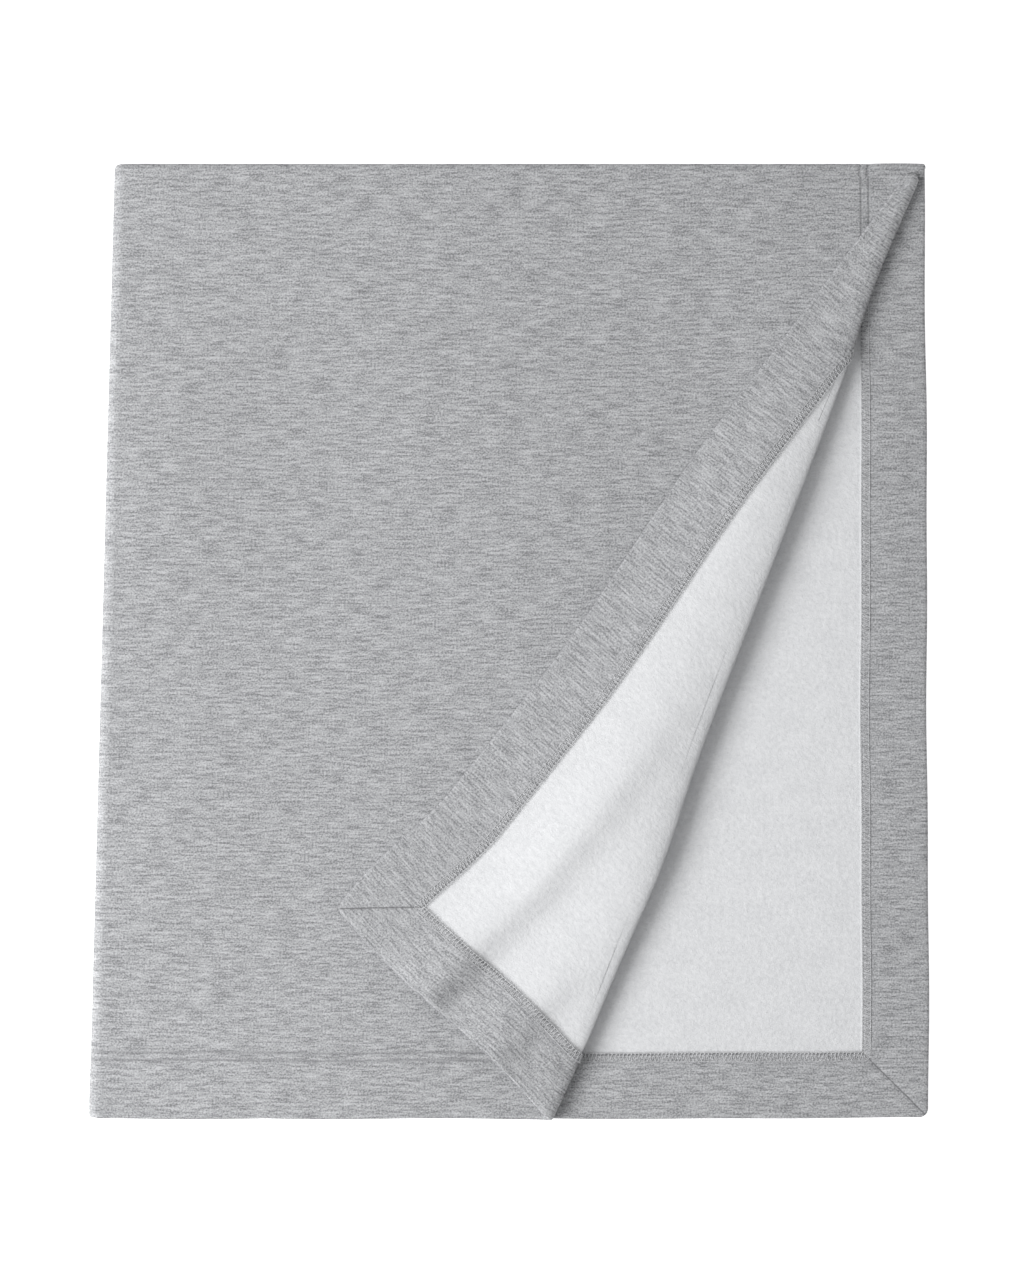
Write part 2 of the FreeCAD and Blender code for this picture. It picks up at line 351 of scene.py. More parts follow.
def edge_wander(layer: Layer, run: np.ndarray) -> np.ndarray:
    """Return how far a layer's hemmed edge lies inside the outline, as in a hand-folded stack."""
    turn = layer.value * 1.9
    wave = 0.0005 * np.sin(17.0 * run + turn) + 0.0003 * np.sin(41.0 * run + 2.0 * turn)
    return EDGE_INSETS[layer] + wave


def edge_fade(distance: np.ndarray) -> np.ndarray:
    """Return how much of an edge's wander reaches a point, 1 at the edge and 0 far inside."""
    return 1.0 - np.clip(distance / EDGE_FADE, 0, 1)


def round_corner(side: np.ndarray, front: np.ndarray) -> tuple[np.ndarray, np.ndarray]:
    """Round the corner between two edges.

    Args:
        side: Distance from the side edge.
        front: Distance from the front edge.

    Returns:
        The two distances after the corner's square is pressed into a quarter disc.
    """
    radius = CLOTH.corner_radius
    a = np.clip(1.0 - side / radius, 0.0, 1.0)
    b = np.clip(1.0 - front / radius, 0.0, 1.0)
    new_side = side + radius * a * (1.0 - np.sqrt(1.0 - b * b / 2.0))
    new_front = front + radius * b * (1.0 - np.sqrt(1.0 - a * a / 2.0))
    return new_side, new_front


@dataclass
class FoldedLayers:
    """The throw folded in quarters, before its corner is turned back."""

    def flat(self, layer: Layer, across: np.ndarray, front: np.ndarray) -> Samples:
        """Return points on a flat layer.

        Args:
            layer: Which layer.
            across: Distance from the left fold's centre.
            front: Distance from the front edge.

        Returns:
            Samples over the two distances, which must have one shape.
        """
        side = PLAN.nominal_width - across
        side_in, front_in = round_corner(side, front)
        y = PLAN.front_y + front_in + edge_wander(layer, across) * edge_fade(front)
        inner = PLAN.nominal_width - side_in - edge_wander(layer, front + 0.3) * edge_fade(side)
        x = plan_x(inner, y)
        upper = layer in (Layer.TOP, Layer.SECOND)
        outer = layer in (Layer.TOP, Layer.BOTTOM)
        up = 1.0 if upper == outer else -1.0
        middle = STACK.upper_middle if upper else STACK.lower_middle
        place = np.stack([x, y, np.full_like(x, middle + up * STACK.half_pair)], axis=-1)
        normal = np.zeros_like(place)
        normal[..., 2] = up
        u = across if upper else -across - math.pi * fold_radius()
        v = cloth_row(front, outer)
        return Samples(place, normal, np.stack([u, v], -1), np.stack([side, front], -1))

    def back_roll(self, pair: Pair, across: np.ndarray, turn: np.ndarray) -> Samples:
        """Return points on the roll that joins a pair along the back edge.

        Args:
            pair: Which pair.
            across: Distance from the left fold's centre.
            turn: Angle about the roll, 0 at the outer layer and pi at the inner one.

        Returns:
            Samples over the roll.
        """
        outward = 1.0 if pair is Pair.UPPER else -1.0
        middle = STACK.upper_middle if pair is Pair.UPPER else STACK.lower_middle
        y = back_axis_y() + STACK.half_pair * np.sin(turn)
        z = middle + outward * STACK.half_pair * np.cos(turn)
        side = PLAN.nominal_width - across
        wander = edge_wander(Layer.SECOND, np.ones_like(turn)) * edge_fade(side)
        x = plan_x(across - wander, y)
        normal = np.stack([0 * x, np.sin(turn), outward * np.cos(turn)], -1)
        u = across if pair is Pair.UPPER else -across - math.pi * fold_radius()
        v = STACK.half_pair * turn
        hem = np.stack([side, np.full_like(side, depth())], -1)
        return Samples(np.stack([x, y, z], -1), normal, np.stack([u, v], -1), hem)

    def left_roll(self, outer: bool, turn: np.ndarray, front: np.ndarray) -> Samples:
        """Return points on one ply of the roll along the left edge.

        Args:
            outer: True for the outer ply, False for the inner one.
            turn: Angle about the roll, 0 below and pi above.
            front: Distance from the front edge.

        Returns:
            Samples over the roll.
        """
        lift = STACK.half_pair if outer else -STACK.half_pair
        out = 1.0 if outer else -1.0
        layer = Layer.TOP if outer else Layer.SECOND
        y = PLAN.front_y + front + edge_wander(layer, 0 * front) * edge_fade(front)
        row = cloth_row(front, outer)
        return self._around_left(turn, y, np.full_like(y, lift), 0 * y, out, front, row)

    def left_back_roll(self, turn: np.ndarray, back_turn: np.ndarray) -> Samples:
        """Return points where the back roll is itself folded about the left edge."""
        y = back_axis_y() + STACK.half_pair * np.sin(back_turn)
        lift = STACK.half_pair * np.cos(back_turn)
        front = np.full_like(y, depth())
        v = STACK.half_pair * back_turn
        return self._around_left(turn, y, lift, np.sin(back_turn), np.cos(back_turn), front, v)

    def _around_left(
        self,
        turn: np.ndarray,
        y: np.ndarray,
        lift: np.ndarray,
        normal_y: np.ndarray,
        normal_out: np.ndarray | float,
        front: np.ndarray,
        v: np.ndarray,
    ) -> Samples:
        """Return points on a ply of the roll along the left edge.

        Args:
            turn: Angle about the roll, 0 below and pi above.
            y: Place along the roll.
            lift: Height above the roll's middle surface.
            normal_y: The knit normal's part along y.
            normal_out: The knit normal's part away from the roll's centre.
            front: Distance from the front edge.
            v: The cloth coordinate along the throw's length.

        Returns:
            Samples of the shape of turn.
        """
        radius = fold_radius()
        centre = (STACK.upper_middle + STACK.lower_middle) / 2
        out_x, out_z = -np.sin(turn), -np.cos(turn)
        x = plan_x(np.zeros_like(y), y) + (radius + lift) * out_x
        z = centre + (radius + lift) * out_z
        normal = np.stack([normal_out * out_x, normal_y + 0 * x, normal_out * out_z], -1)
        u = (radius + lift) * (turn - math.pi)
        hem = np.stack([np.full_like(x, PLAN.nominal_width), front + 0 * x], -1)
        place = np.stack([x, y + 0 * x, z], -1)
        return Samples(place, normal, np.stack([u + 0 * x, v + 0 * x], -1), hem)


@dataclass
class TurnedCorner:
    """The front right corner of the top layer, turned back over a diagonal crease.

    A crease wave is a place along y, a width and how far the crease bulges out there.
    A ridge is a distance from the flap's long edge, a width, a height and the share of
    the flap's length over which it fades towards the back.
    """

    rest_gap: float = 0.0003
    front_sway: float = 0.0026
    drop_length: float = 0.150
    lip_height: float = 0.0130
    shoulder_width: float = 0.027
    shoulder_rise: float = 0.0065
    crease_waves: tuple[tuple[float, float, float], ...] = (
        (0.287, 0.060, -0.0044),
        (-0.178, 0.062, 0.0046),
        (-0.388, 0.055, -0.0050),
    )
    gentle_slope: float = 1.6
    steep_slope: float = 0.95
    ridges: tuple[tuple[float, float, float, float], ...] = (
        (0.097, 0.019, 0.0102, 0.70),
        (0.165, 0.018, 0.0070, 0.44),
    )

    def frame_vectors(self) -> tuple[np.ndarray, np.ndarray, float]:
        """Return the crease's direction to the back, its outward normal and the row slope."""
        back, front = np.array(PLAN.crease_back), np.array(PLAN.crease_front)
        to_back = (back - front) / np.linalg.norm(back - front)
        outward = np.array([to_back[1], -to_back[0]])
        return to_back, outward, to_back[0] / to_back[1]

    def radius(self, y: np.ndarray) -> np.ndarray:
        """Return how far the roll bulges out, which is least at its two hemmed ends."""
        return self._along(y, 0.0036, STACK.crease_radius_front, 0.0056)

    def lip(self, y: np.ndarray) -> np.ndarray:
        """Return how high the roll's outermost line stands."""
        return self._along(y, 0.0040, self.lip_height, 0.0062)

    def shoulder(self, y: np.ndarray) -> tuple[np.ndarray, np.ndarray]:
        """Return the half width and the rise of the roll's upper, softer quarter."""
        width = np.maximum(
            self._along(y, 0.0046, self.shoulder_width, 0.0120), self.radius(y) * 1.001
        )
        return width, self._along(y, 0.0018, self.shoulder_rise, 0.0036)

    def _along(self, y: np.ndarray, back: float, middle: float, front: float) -> np.ndarray:
        """Return a size that changes towards the roll's two ends and shrinks at its tip."""
        size = middle + (back - middle) * smooth(y, 0.06, 0.240)
        size = size + (front - middle) * (1.0 - smooth(y, -0.335, -0.165))
        taper = smooth(y, STACK.flap_start - STACK.crease_taper, STACK.flap_start)
        return size + (STACK.crease_radius_tip - size) * taper

    def wrap(self, y: np.ndarray) -> np.ndarray:
        """Return the length of cloth round the roll, square to the crease."""
        radius, lip = self.radius(y), self.lip(y)
        width, rise = self.shoulder(y)
        last = rise * np.sqrt(np.clip(1.0 - (1.0 - radius / width) ** 2, 0, 1))
        return math.pi / 2 * np.sqrt((radius**2 + lip**2) / 2) + 1.08 * np.hypot(radius, last)

    def axis_x(self, y: np.ndarray) -> np.ndarray:
        """Return where the roll starts to lift off the top layer."""
        _, outward, _ = self.frame_vectors()
        back, front = PLAN.crease_back, PLAN.crease_front
        line = front[0] + (back[0] - front[0]) * (y - front[1]) / (back[1] - front[1])
        wander = sum(out * bump(y, middle, width) for middle, width, out in self.crease_waves)
        hemmed = smooth(y, 0.205, 0.245) + 1.0 - smooth(y, -0.330, -0.312)
        return line + wander - (self.radius(y) + CLOTH.ply / 2 + CLOTH.ply * hemmed) / outward[0]

    def roll(self, y: np.ndarray, turn: np.ndarray) -> Samples:
        """Return points on the roll along the crease.

        Args:
            y: Where the cloth's row leaves the flat top layer.
            turn: Angle about the roll, -pi/2 at the top layer and pi/2 at the flap.

        Returns:
            Samples over the roll.
        """
        to_back, outward, slope = self.frame_vectors()
        radius, lip, wrap = self.radius(y), self.lip(y), self.wrap(y)
        width, rise = self.shoulder(y)
        run = wrap * (turn / math.pi + 0.5)
        lifted = np.clip(turn / (math.pi / 2), 0, 1) * np.arccos(1.0 - radius / width)
        under = turn < 0
        out = np.where(under, radius * np.cos(turn), radius - width * (1.0 - np.cos(lifted)))
        up = lip + np.where(under, lip * np.sin(turn), rise * np.sin(lifted))
        x = self.axis_x(y) + to_back[0] * slope * run + outward[0] * out
        py = y + to_back[1] * slope * run + outward[1] * out
        z = self.base() + up
        away = np.where(under, lip * np.cos(turn), rise * np.cos(lifted))
        upward = np.where(under, radius * np.sin(turn), width * np.sin(lifted))
        size = np.hypot(away, upward)
        normal = -np.stack([outward[0] * away, outward[1] * away, upward], -1) / size[..., None]
        side = self.row_length(y) + (wrap - run) / outward[0]
        u = self.axis_cloth(y) + run / outward[0]
        return self._samples(x, py, z, normal, u, y, side)

    def flap(self, y: np.ndarray, side: np.ndarray) -> Samples:
        """Return points on the turned-back corner.

        Args:
            y: Where the cloth's row left the flat top layer.
            side: Distance from the flap's long hemmed edge.

        Returns:
            Samples over the flap.
        """
        start, end = self.row_ends(y)
        length = self.row_length(y)
        divisor = np.maximum(length, 1e-6)
        corner_side, corner_front = round_corner(side, y - PLAN.front_y)
        start_in, end_in = self.row_ends(PLAN.front_y + corner_front)
        share = 1.0 - corner_side / divisor
        sway = self.front_sway * np.sin(2 * math.pi * share) * (1.0 - smooth(y, -0.37, -0.16))
        square = np.stack([end[..., 1] - start[..., 1], start[..., 0] - end[..., 0]], -1)
        plan = start_in + (end_in - start_in) * share[..., None]
        plan = plan + square * (sway / divisor)[..., None]
        z = self.base() + CLOTH.ply / 2 + self.height(y, side, length)
        place = np.stack([plan[..., 0], plan[..., 1], z], -1)
        normal = np.zeros_like(place)
        normal[..., 2] = -1.0
        u = self.axis_cloth(y) + self.wrap(y) / self.frame_vectors()[1][0] + length - side
        samples = self._samples(plan[..., 0], plan[..., 1], z, normal, u, y, side)
        if place.ndim == 3 and min(place.shape[:2]) > 2:
            samples.normal = self._meet_roll(tilted(samples.place, normal), y, length - side)
        return samples

    def _meet_roll(self, normal: np.ndarray, y: np.ndarray, inward: np.ndarray) -> np.ndarray:
        """Return the flap's normals, turned to the roll's own where the flap meets it."""
        near = (1.0 - smooth(inward, 0.0, 0.006))[..., None]
        last = self.roll(y, np.full(np.shape(y), math.pi / 2)).normal
        mixed = normal * (1.0 - near) + last * near
        return mixed / np.linalg.norm(mixed, axis=-1, keepdims=True)

    def height(self, y: np.ndarray, side: np.ndarray, length: np.ndarray) -> np.ndarray:
        """Return how high the flap's middle stands above the top layer.

        Args:
            y: Where the cloth's row left the flat top layer.
            side: Distance from the flap's long hemmed edge.
            length: Length of the row on the flap.

        Returns:
            Heights of the shape of side.
        """
        rest = CLOTH.ply / 2 + self.rest_gap
        radius, lip = self.radius(y), self.lip(y)
        width, rise = self.shoulder(y)
        top = lip + rise - CLOTH.ply / 2
        inward = (length - side) * self.frame_vectors()[1][0]
        left = np.clip(1.0 - (inward + radius) / width, 0, 1)
        rounded = lip + rise * np.sqrt(np.clip(1.0 - left**2, 0, 1)) - CLOTH.ply / 2
        room = np.minimum(self.drop_length, np.maximum((length - 0.004) * 0.9, 0.004))
        fall = np.clip((inward + radius - width) / room, 0, 1)
        height = rest + (np.maximum(top, rest) - rest) * 0.5 * (1 + np.cos(math.pi * fall))
        height = height + np.where(left > 0, rounded - top, 0.0)
        reach = (y - PLAN.front_y) / (PLAN.back_y - PLAN.front_y)
        for middle, half_width, tall, fade in self.ridges:
            slope = half_width * np.where(side < middle, self.gentle_slope, self.steep_slope)
            room = smooth(length, middle, middle + 0.05) * (1.0 - smooth(reach, 0.0, fade))
            height = height + tall * bump(side, middle, slope) * room
        return height

    def row_ends(self, y: np.ndarray) -> tuple[np.ndarray, np.ndarray]:
        """Return where a cloth row starts on the flap and where it meets the long edge."""
        to_back, _, slope = self.frame_vectors()
        run = self.wrap(y) * slope
        start = np.stack([self.axis_x(y) + to_back[0] * run, y + to_back[1] * run], -1)
        share = (PLAN.back_y - y) / (PLAN.back_y - PLAN.front_y)
        tip, corner = np.array(PLAN.flap_tip), np.array(PLAN.flap_corner)
        along = (corner - tip) / np.linalg.norm(corner - tip)
        inward = np.array([-along[1], along[0]])
        dip = smooth(share, 0.34, 0.68) * (1.0 - smooth(share, 0.82, 0.97))
        bow = PLAN.flap_side_bow * np.sin(math.pi * np.clip(share, 0, 1)) + PLAN.flap_side_dip * dip
        end = tip + (corner - tip) * share[..., None] + inward * bow[..., None]
        return start, end

    def row_length(self, y: np.ndarray) -> np.ndarray:
        """Return the plan length of a cloth row on the flap."""
        start, end = self.row_ends(y)
        return np.linalg.norm(end - start, axis=-1)

    def axis_cloth(self, y: np.ndarray) -> np.ndarray:
        """Return the cloth coordinate where a row leaves the flat top layer."""
        fold = left_edge_x(y) + fold_radius() + STACK.half_pair + CLOTH.ply / 2
        return (self.axis_x(y) - fold) * PLAN.nominal_width / (right_edge_x(y) - fold)

    def base(self) -> float:
        """Return the height of the middle of the top layer."""
        return STACK.upper_middle + STACK.half_pair

    def _samples(
        self,
        x: np.ndarray,
        py: np.ndarray,
        z: np.ndarray,
        normal: np.ndarray,
        u: np.ndarray,
        y: np.ndarray,
        side: np.ndarray,
    ) -> Samples:
        """Gather samples, with the flap's tip rounded off.

        Args:
            x: Place along x.
            py: Place along y.
            z: Height.
            normal: Knit normals.
            u: The cloth coordinate across the throw.
            y: Where the cloth's row left the flat top layer.
            side: Distance from the long hemmed edge.

        Returns:
            The samples.
        """
        front = y - PLAN.front_y
        place = np.stack([x, py, z], -1)
        cloth = np.stack([u, front - depth()], -1)
        end = rounding((STACK.flap_start - y) * 0.5)
        return Samples(place, normal, cloth, np.stack([side, front], -1), end)


def tilted(place: np.ndarray, fallback: np.ndarray) -> np.ndarray:
    """Return unit normals of a grid of points, on the same side as the fallback normals."""
    rows = np.gradient(place, axis=0)
    columns = np.gradient(place, axis=1)
    normal = np.cross(rows, columns)
    size = np.linalg.norm(normal, axis=-1, keepdims=True)
    normal = np.where(size > 1e-12, normal / np.maximum(size, 1e-12), fallback)
    flip = np.sum(normal * fallback, axis=-1, keepdims=True) < 0
    return np.where(flip, -normal, normal)


def grid(rows: np.ndarray, columns: np.ndarray) -> tuple[np.ndarray, np.ndarray]:
    """Return row and column values over a whole grid."""
    return np.meshgrid(rows, columns, indexing="ij")


def joined(parts: list[Samples], axis: int = 0) -> Samples:
    """Join grids of samples end to end, by rows or, with axis 1, by columns."""
    names = ("place", "normal", "cloth", "hem")
    values = [np.concatenate([getattr(p, name) for p in parts], axis) for name in names]
    ends = [np.broadcast_to(p.end, p.place.shape[:2]) for p in parts]
    return Samples(*values, np.concatenate(ends, axis))


class Shell:
    """A closed sheet of cloth with a knit face, a fleece face and finished edges."""

    def __init__(self, name: str, samples: Samples) -> None:
        """Keep the grid of samples that the sheet follows."""
        self.name = name
        self.samples = samples

    def build(self, materials: list[bpy.types.Material]) -> bpy.types.Object:
        """Make the sheet's object.

        Args:
            materials: The knit face's material and the fleece face's.

        Returns:
            The new object, linked to the scene.
        """
        knit = self.samples.face(ClothSide.KNIT)
        fleece = self.samples.face(ClothSide.FLEECE)
        rows, columns = knit.shape[:2]
        count = rows * columns
        index = np.arange(count).reshape(rows, columns)
        quads = np.stack(
            [index[:-1, :-1], index[:-1, 1:], index[1:, 1:], index[1:, :-1]], -1
        ).reshape(-1, 4)
        if self._faces_down(knit, quads):
            quads = quads[:, ::-1]
        rim = self._rim(index, count)
        faces = np.concatenate([quads, quads[:, ::-1] + count, rim])
        mesh = bpy.data.meshes.new(self.name)
        points = np.concatenate([knit.reshape(-1, 3), fleece.reshape(-1, 3)])
        mesh.from_pydata(points.tolist(), [], faces.tolist())
        for layer, values in (("Cloth", self.samples.cloth), ("Hem", self.samples.hem)):
            self._store_uv(mesh, layer, values)
        slots = np.concatenate([np.zeros(len(quads)), np.ones(len(quads)), np.ones(len(rim))])
        mesh.polygons.foreach_set("material_index", slots.astype(np.int32))
        for material in materials:
            mesh.materials.append(material)
        self._finish(mesh, len(quads) * 2)
        obj = bpy.data.objects.new(self.name, mesh)
        bpy.context.collection.objects.link(obj)
        return obj

    def _faces_down(self, knit: np.ndarray, quads: np.ndarray) -> bool:
        """Return True where the knit quads would face away from the knit side."""
        points = knit.reshape(-1, 3)[quads]
        normal = np.cross(points[:, 2] - points[:, 0], points[:, 3] - points[:, 1])
        wanted = self.samples.normal.reshape(-1, 3)[quads[:, 0]]
        return float(np.sum(normal * wanted)) < 0

    def _rim(self, index: np.ndarray, count: int) -> np.ndarray:
        """Return the quads that close the sheet between its two faces."""
        loop = np.concatenate([index[0, :-1], index[:-1, -1], index[-1, :0:-1], index[:0:-1, 0]])
        following = np.roll(loop, -1)
        return np.stack([loop, following, following + count, loop + count], -1)

    def _store_uv(self, mesh: bpy.types.Mesh, name: str, values: np.ndarray) -> None:
        """Store a value for each point as a UV map."""
        flat = np.concatenate([values.reshape(-1, 2)] * 2)
        corner = np.empty(len(mesh.loops), dtype=np.int32)
        mesh.loops.foreach_get("vertex_index", corner)
        layer = mesh.uv_layers.new(name=name)
        layer.data.foreach_set("uv", flat[corner].astype(np.float32).ravel())

    def _finish(self, mesh: bpy.types.Mesh, rim_start: int) -> None:
        """Merge the turned edges, turn faces outwards and mark the cut ends sharp."""
        work = bmesh.new()
        work.from_mesh(mesh)
        work.faces.ensure_lookup_table()
        cuts = [f for f in work.faces if f.index >= rim_start and f.calc_area() > 1e-9]
        for face in cuts:
            for edge in face.edges:
                if any(other.index < rim_start for other in edge.link_faces):
                    edge.smooth = False
        bmesh.ops.remove_doubles(work, verts=work.verts, dist=2e-6)
        bmesh.ops.dissolve_degenerate(work, edges=work.edges, dist=1e-7)
        bmesh.ops.recalc_face_normals(work, faces=work.faces)
        for face in work.faces:
            face.smooth = True
        work.to_mesh(mesh)
        work.free()
        mesh.update()


@dataclass
class ThrowCloth:
    """Every sheet of the throw's cloth, one for each body and one for each moving fold."""

    layers: FoldedLayers
    corner: TurnedCorner
    pitch: float = 0.0085
    top_pitch: float = 0.005
    flap_pitch: float = 0.0032

    def across_columns(self, pitch: float) -> np.ndarray:
        """Return distances across for a full layer's columns, from the left fold."""
        last = PLAN.nominal_width - STACK.roll_margin
        return (PLAN.nominal_width - hem_stations(last, pitch))[::-1]

    def lower(self) -> Samples:
        """Return the two lower layers and the roll between them."""
        rows, columns = hem_stations(depth(), self.pitch), self.across_columns(self.pitch)
        turns = np.linspace(0, math.pi, 13)[1:-1]
        front, across = grid(rows, columns)
        turn, roll_across = grid(turns, columns)
        return joined([
            self.layers.flat(Layer.BOTTOM, across, front),
            self.layers.back_roll(Pair.LOWER, roll_across, turn),
            self.layers.flat(Layer.THIRD, across[::-1], front[::-1]),
        ])

    def second(self) -> Samples:
        """Return the second layer, its back roll and the start of the top layer."""
        rows, columns = hem_stations(depth(), self.pitch), self.across_columns(self.pitch)
        turns = np.linspace(math.pi, 0, 13)[1:-1]
        front, across = grid(rows, columns)
        turn, roll_across = grid(turns, columns)
        start = STACK.flap_start - PLAN.front_y
        strip_front, strip_across = grid(np.linspace(depth(), start, 3), columns)
        return joined([
            self.layers.flat(Layer.SECOND, across, front),
            self.layers.back_roll(Pair.UPPER, roll_across, turn),
            self.layers.flat(Layer.TOP, strip_across, strip_front),
        ])

    def top(self) -> Samples:
        """Return the top layer left of the crease."""
        rows = hem_stations(STACK.flap_start - PLAN.front_y, self.top_pitch)
        count = math.ceil((PLAN.nominal_width - STACK.roll_margin) / self.top_pitch)
        front, share = grid(rows, np.linspace(0, 1, count))
        last = self.corner.axis_cloth(front + PLAN.front_y)
        across = STACK.roll_margin + (last - STACK.roll_margin) * share
        samples = self.layers.flat(Layer.TOP, across, front)
        gap = self._row_drift(front, last)
        samples.place = samples.place + gap * (share ** 6)[..., None]
        return samples

    def _row_drift(self, front: np.ndarray, last: np.ndarray) -> np.ndarray:
        """Return how far the flat layer's end is from the crease roll's start."""
        flat = self.layers.flat(Layer.TOP, last, front)
        roll = self.corner.roll(front + PLAN.front_y, np.full_like(front, -math.pi / 2))
        return roll.place - flat.place

    def crease(self) -> Samples:
        """Return the roll along the crease."""
        rows = hem_stations(STACK.flap_start - PLAN.front_y, self.top_pitch / 2)
        turns = np.linspace(-math.pi / 2, math.pi / 2, 23)
        front, turn = grid(rows, turns)
        return self.corner.roll(front + PLAN.front_y, turn)

    def flap(self) -> Samples:
        """Return the turned-back corner."""
        rows = hem_stations(STACK.flap_start - PLAN.front_y, self.flap_pitch)
        hem = hem_stations(CLOTH.hem_width + 0.01, self.flap_pitch)
        inner = np.linspace(0, 1, 62)[1:]
        length = self.corner.row_length(rows + PLAN.front_y)
        sides = []
        for row_length in length:
            band = np.minimum(hem, row_length * hem / hem[-1])
            rest = band[-1] + (row_length - band[-1]) * inner
            sides.append(np.concatenate([band, rest]))
        side = np.array(sides)
        front = np.broadcast_to(rows[:, None], side.shape)
        return self.corner.flap(front + PLAN.front_y, side)

    def left(self, outer: bool) -> Samples:
        """Return one ply of the left roll, turned over at the back to its pair's other ply.

        Args:
            outer: True for the outer ply, False for the inner one.

        Returns:
            Samples of the ply with its narrow flat margins.
        """
        rows = hem_stations(depth(), self.top_pitch)
        margin = np.linspace(STACK.roll_margin, 0, 4)[:-1]
        turns = np.linspace(0, math.pi, 21)
        low, high = (Layer.BOTTOM, Layer.TOP) if outer else (Layer.THIRD, Layer.SECOND)
        half = math.pi / 2
        back = np.linspace(0, half, 7)[1:] if outer else np.linspace(math.pi, half, 7)[1:]
        columns = []
        for layer, pair in ((low, Pair.LOWER), (high, Pair.UPPER)):
            front, across = grid(rows, margin)
            turn, roll_across = grid(back, margin)
            columns.append(joined([
                self.layers.flat(layer, across, front),
                self.layers.back_roll(pair, roll_across, turn),
            ]))
        lean = np.concatenate([np.full(len(rows), 0.0 if outer else math.pi), back])
        columns[0].cloth[..., 0] -= math.pi * STACK.half_pair * np.cos(lean)[:, None]
        front, turn = grid(rows, turns)
        back_turn, roll_turn = grid(back, turns)
        middle = joined([
            self.layers.left_roll(outer, turn, front),
            self.layers.left_back_roll(roll_turn, back_turn),
        ])
        return joined([columns[0], middle, mirrored(columns[1])], axis=1)


def mirrored(part: Samples) -> Samples:
    """Return a grid of samples with its columns reversed."""
    end = np.broadcast_to(part.end, part.place.shape[:2])
    values = (part.place, part.normal, part.cloth, part.hem, end)
    return Samples(*(value[:, ::-1] for value in values))


class NodeTree:
    """A short way to add and link the nodes of one tree."""

    def __init__(self, tree: bpy.types.NodeTree) -> None:
        """Keep the tree to build in."""
        self.tree = tree

    def add(self, kind: str, **settings: object) -> bpy.types.Node:
        """Add a node and set its properties."""
        node = self.tree.nodes.new(kind)
        for name, value in settings.items():
            setattr(node, name, value)
        return node

    def feed(self, socket: bpy.types.NodeSocket, value: object) -> None:
        """Link an output to an input, or set the input's own value."""
        if isinstance(value, bpy.types.NodeSocket):
            self.tree.links.new(value, socket)
        else:
            socket.default_value = value

    def math(self, operation: str, *values: object) -> bpy.types.NodeSocket:
        """Return the output of a Math node over some values."""
        node = self.add("ShaderNodeMath", operation=operation)
        for socket, value in zip(node.inputs, values):
            self.feed(socket, value)
        return node.outputs[0]

    def scaled(self, vector: object, factors: tuple[float, float, float]) -> bpy.types.NodeSocket:
        """Return a vector with each part multiplied."""
        node = self.add("ShaderNodeVectorMath", operation="MULTIPLY")
        self.feed(node.inputs[0], vector)
        self.feed(node.inputs[1], factors)
        return node.outputs[0]

    def noise(self, vector: object, scale: float, detail: float, rough: float) -> bpy.types.NodeSocket:
        """Return the value of a Noise Texture."""
        node = self.add("ShaderNodeTexNoise")
        self.feed(node.inputs["Vector"], vector)
        self.feed(node.inputs["Scale"], scale)
        self.feed(node.inputs["Detail"], detail)
        self.feed(node.inputs["Roughness"], rough)
        return node.outputs["Fac"]

    def remap(
        self, value: object, low: float, high: float, to_low: float, to_high: float
    ) -> bpy.types.NodeSocket:
        """Return a value moved from one range to another, held at its ends."""
        node = self.add("ShaderNodeMapRange")
        for socket, item in zip(node.inputs, (value, low, high, to_low, to_high)):
            self.feed(socket, item)
        return node.outputs[0]

    def mix(self, share: object, first: object, second: object) -> bpy.types.NodeSocket:
        """Return a mix of two colours."""
        node = self.add("ShaderNodeMix", data_type="RGBA")
        self.feed(node.inputs["Factor"], share)
        self.feed(node.inputs[6], first)
        self.feed(node.inputs[7], second)
        return node.outputs[2]

    def blend_value(self, share: object, first: object, second: object) -> bpy.types.NodeSocket:
        """Return a mix of two numbers."""
        node = self.add("ShaderNodeMix", data_type="FLOAT")
        self.feed(node.inputs["Factor"], share)
        self.feed(node.inputs[2], first)
        self.feed(node.inputs[3], second)
        return node.outputs[0]


Colour = tuple[float, float, float, float]


def new_group(
    name: str, inputs: dict[str, str], outputs: dict[str, str]
) -> tuple[NodeTree, object, object]:
    """Start a shader node group.

    Args:
        name: The group's name.
        inputs: Socket types by input name.
        outputs: Socket types by output name.

    Returns:
        The tree helper, and the group's input and output nodes.
    """
    group = bpy.data.node_groups.new(name, "ShaderNodeTree")
    for label, kind in inputs.items():
        group.interface.new_socket(label, in_out="INPUT", socket_type=kind)
    for label, kind in outputs.items():
        group.interface.new_socket(label, in_out="OUTPUT", socket_type=kind)
    tree = NodeTree(group)
    return tree, tree.add("NodeGroupInput"), tree.add("NodeGroupOutput")


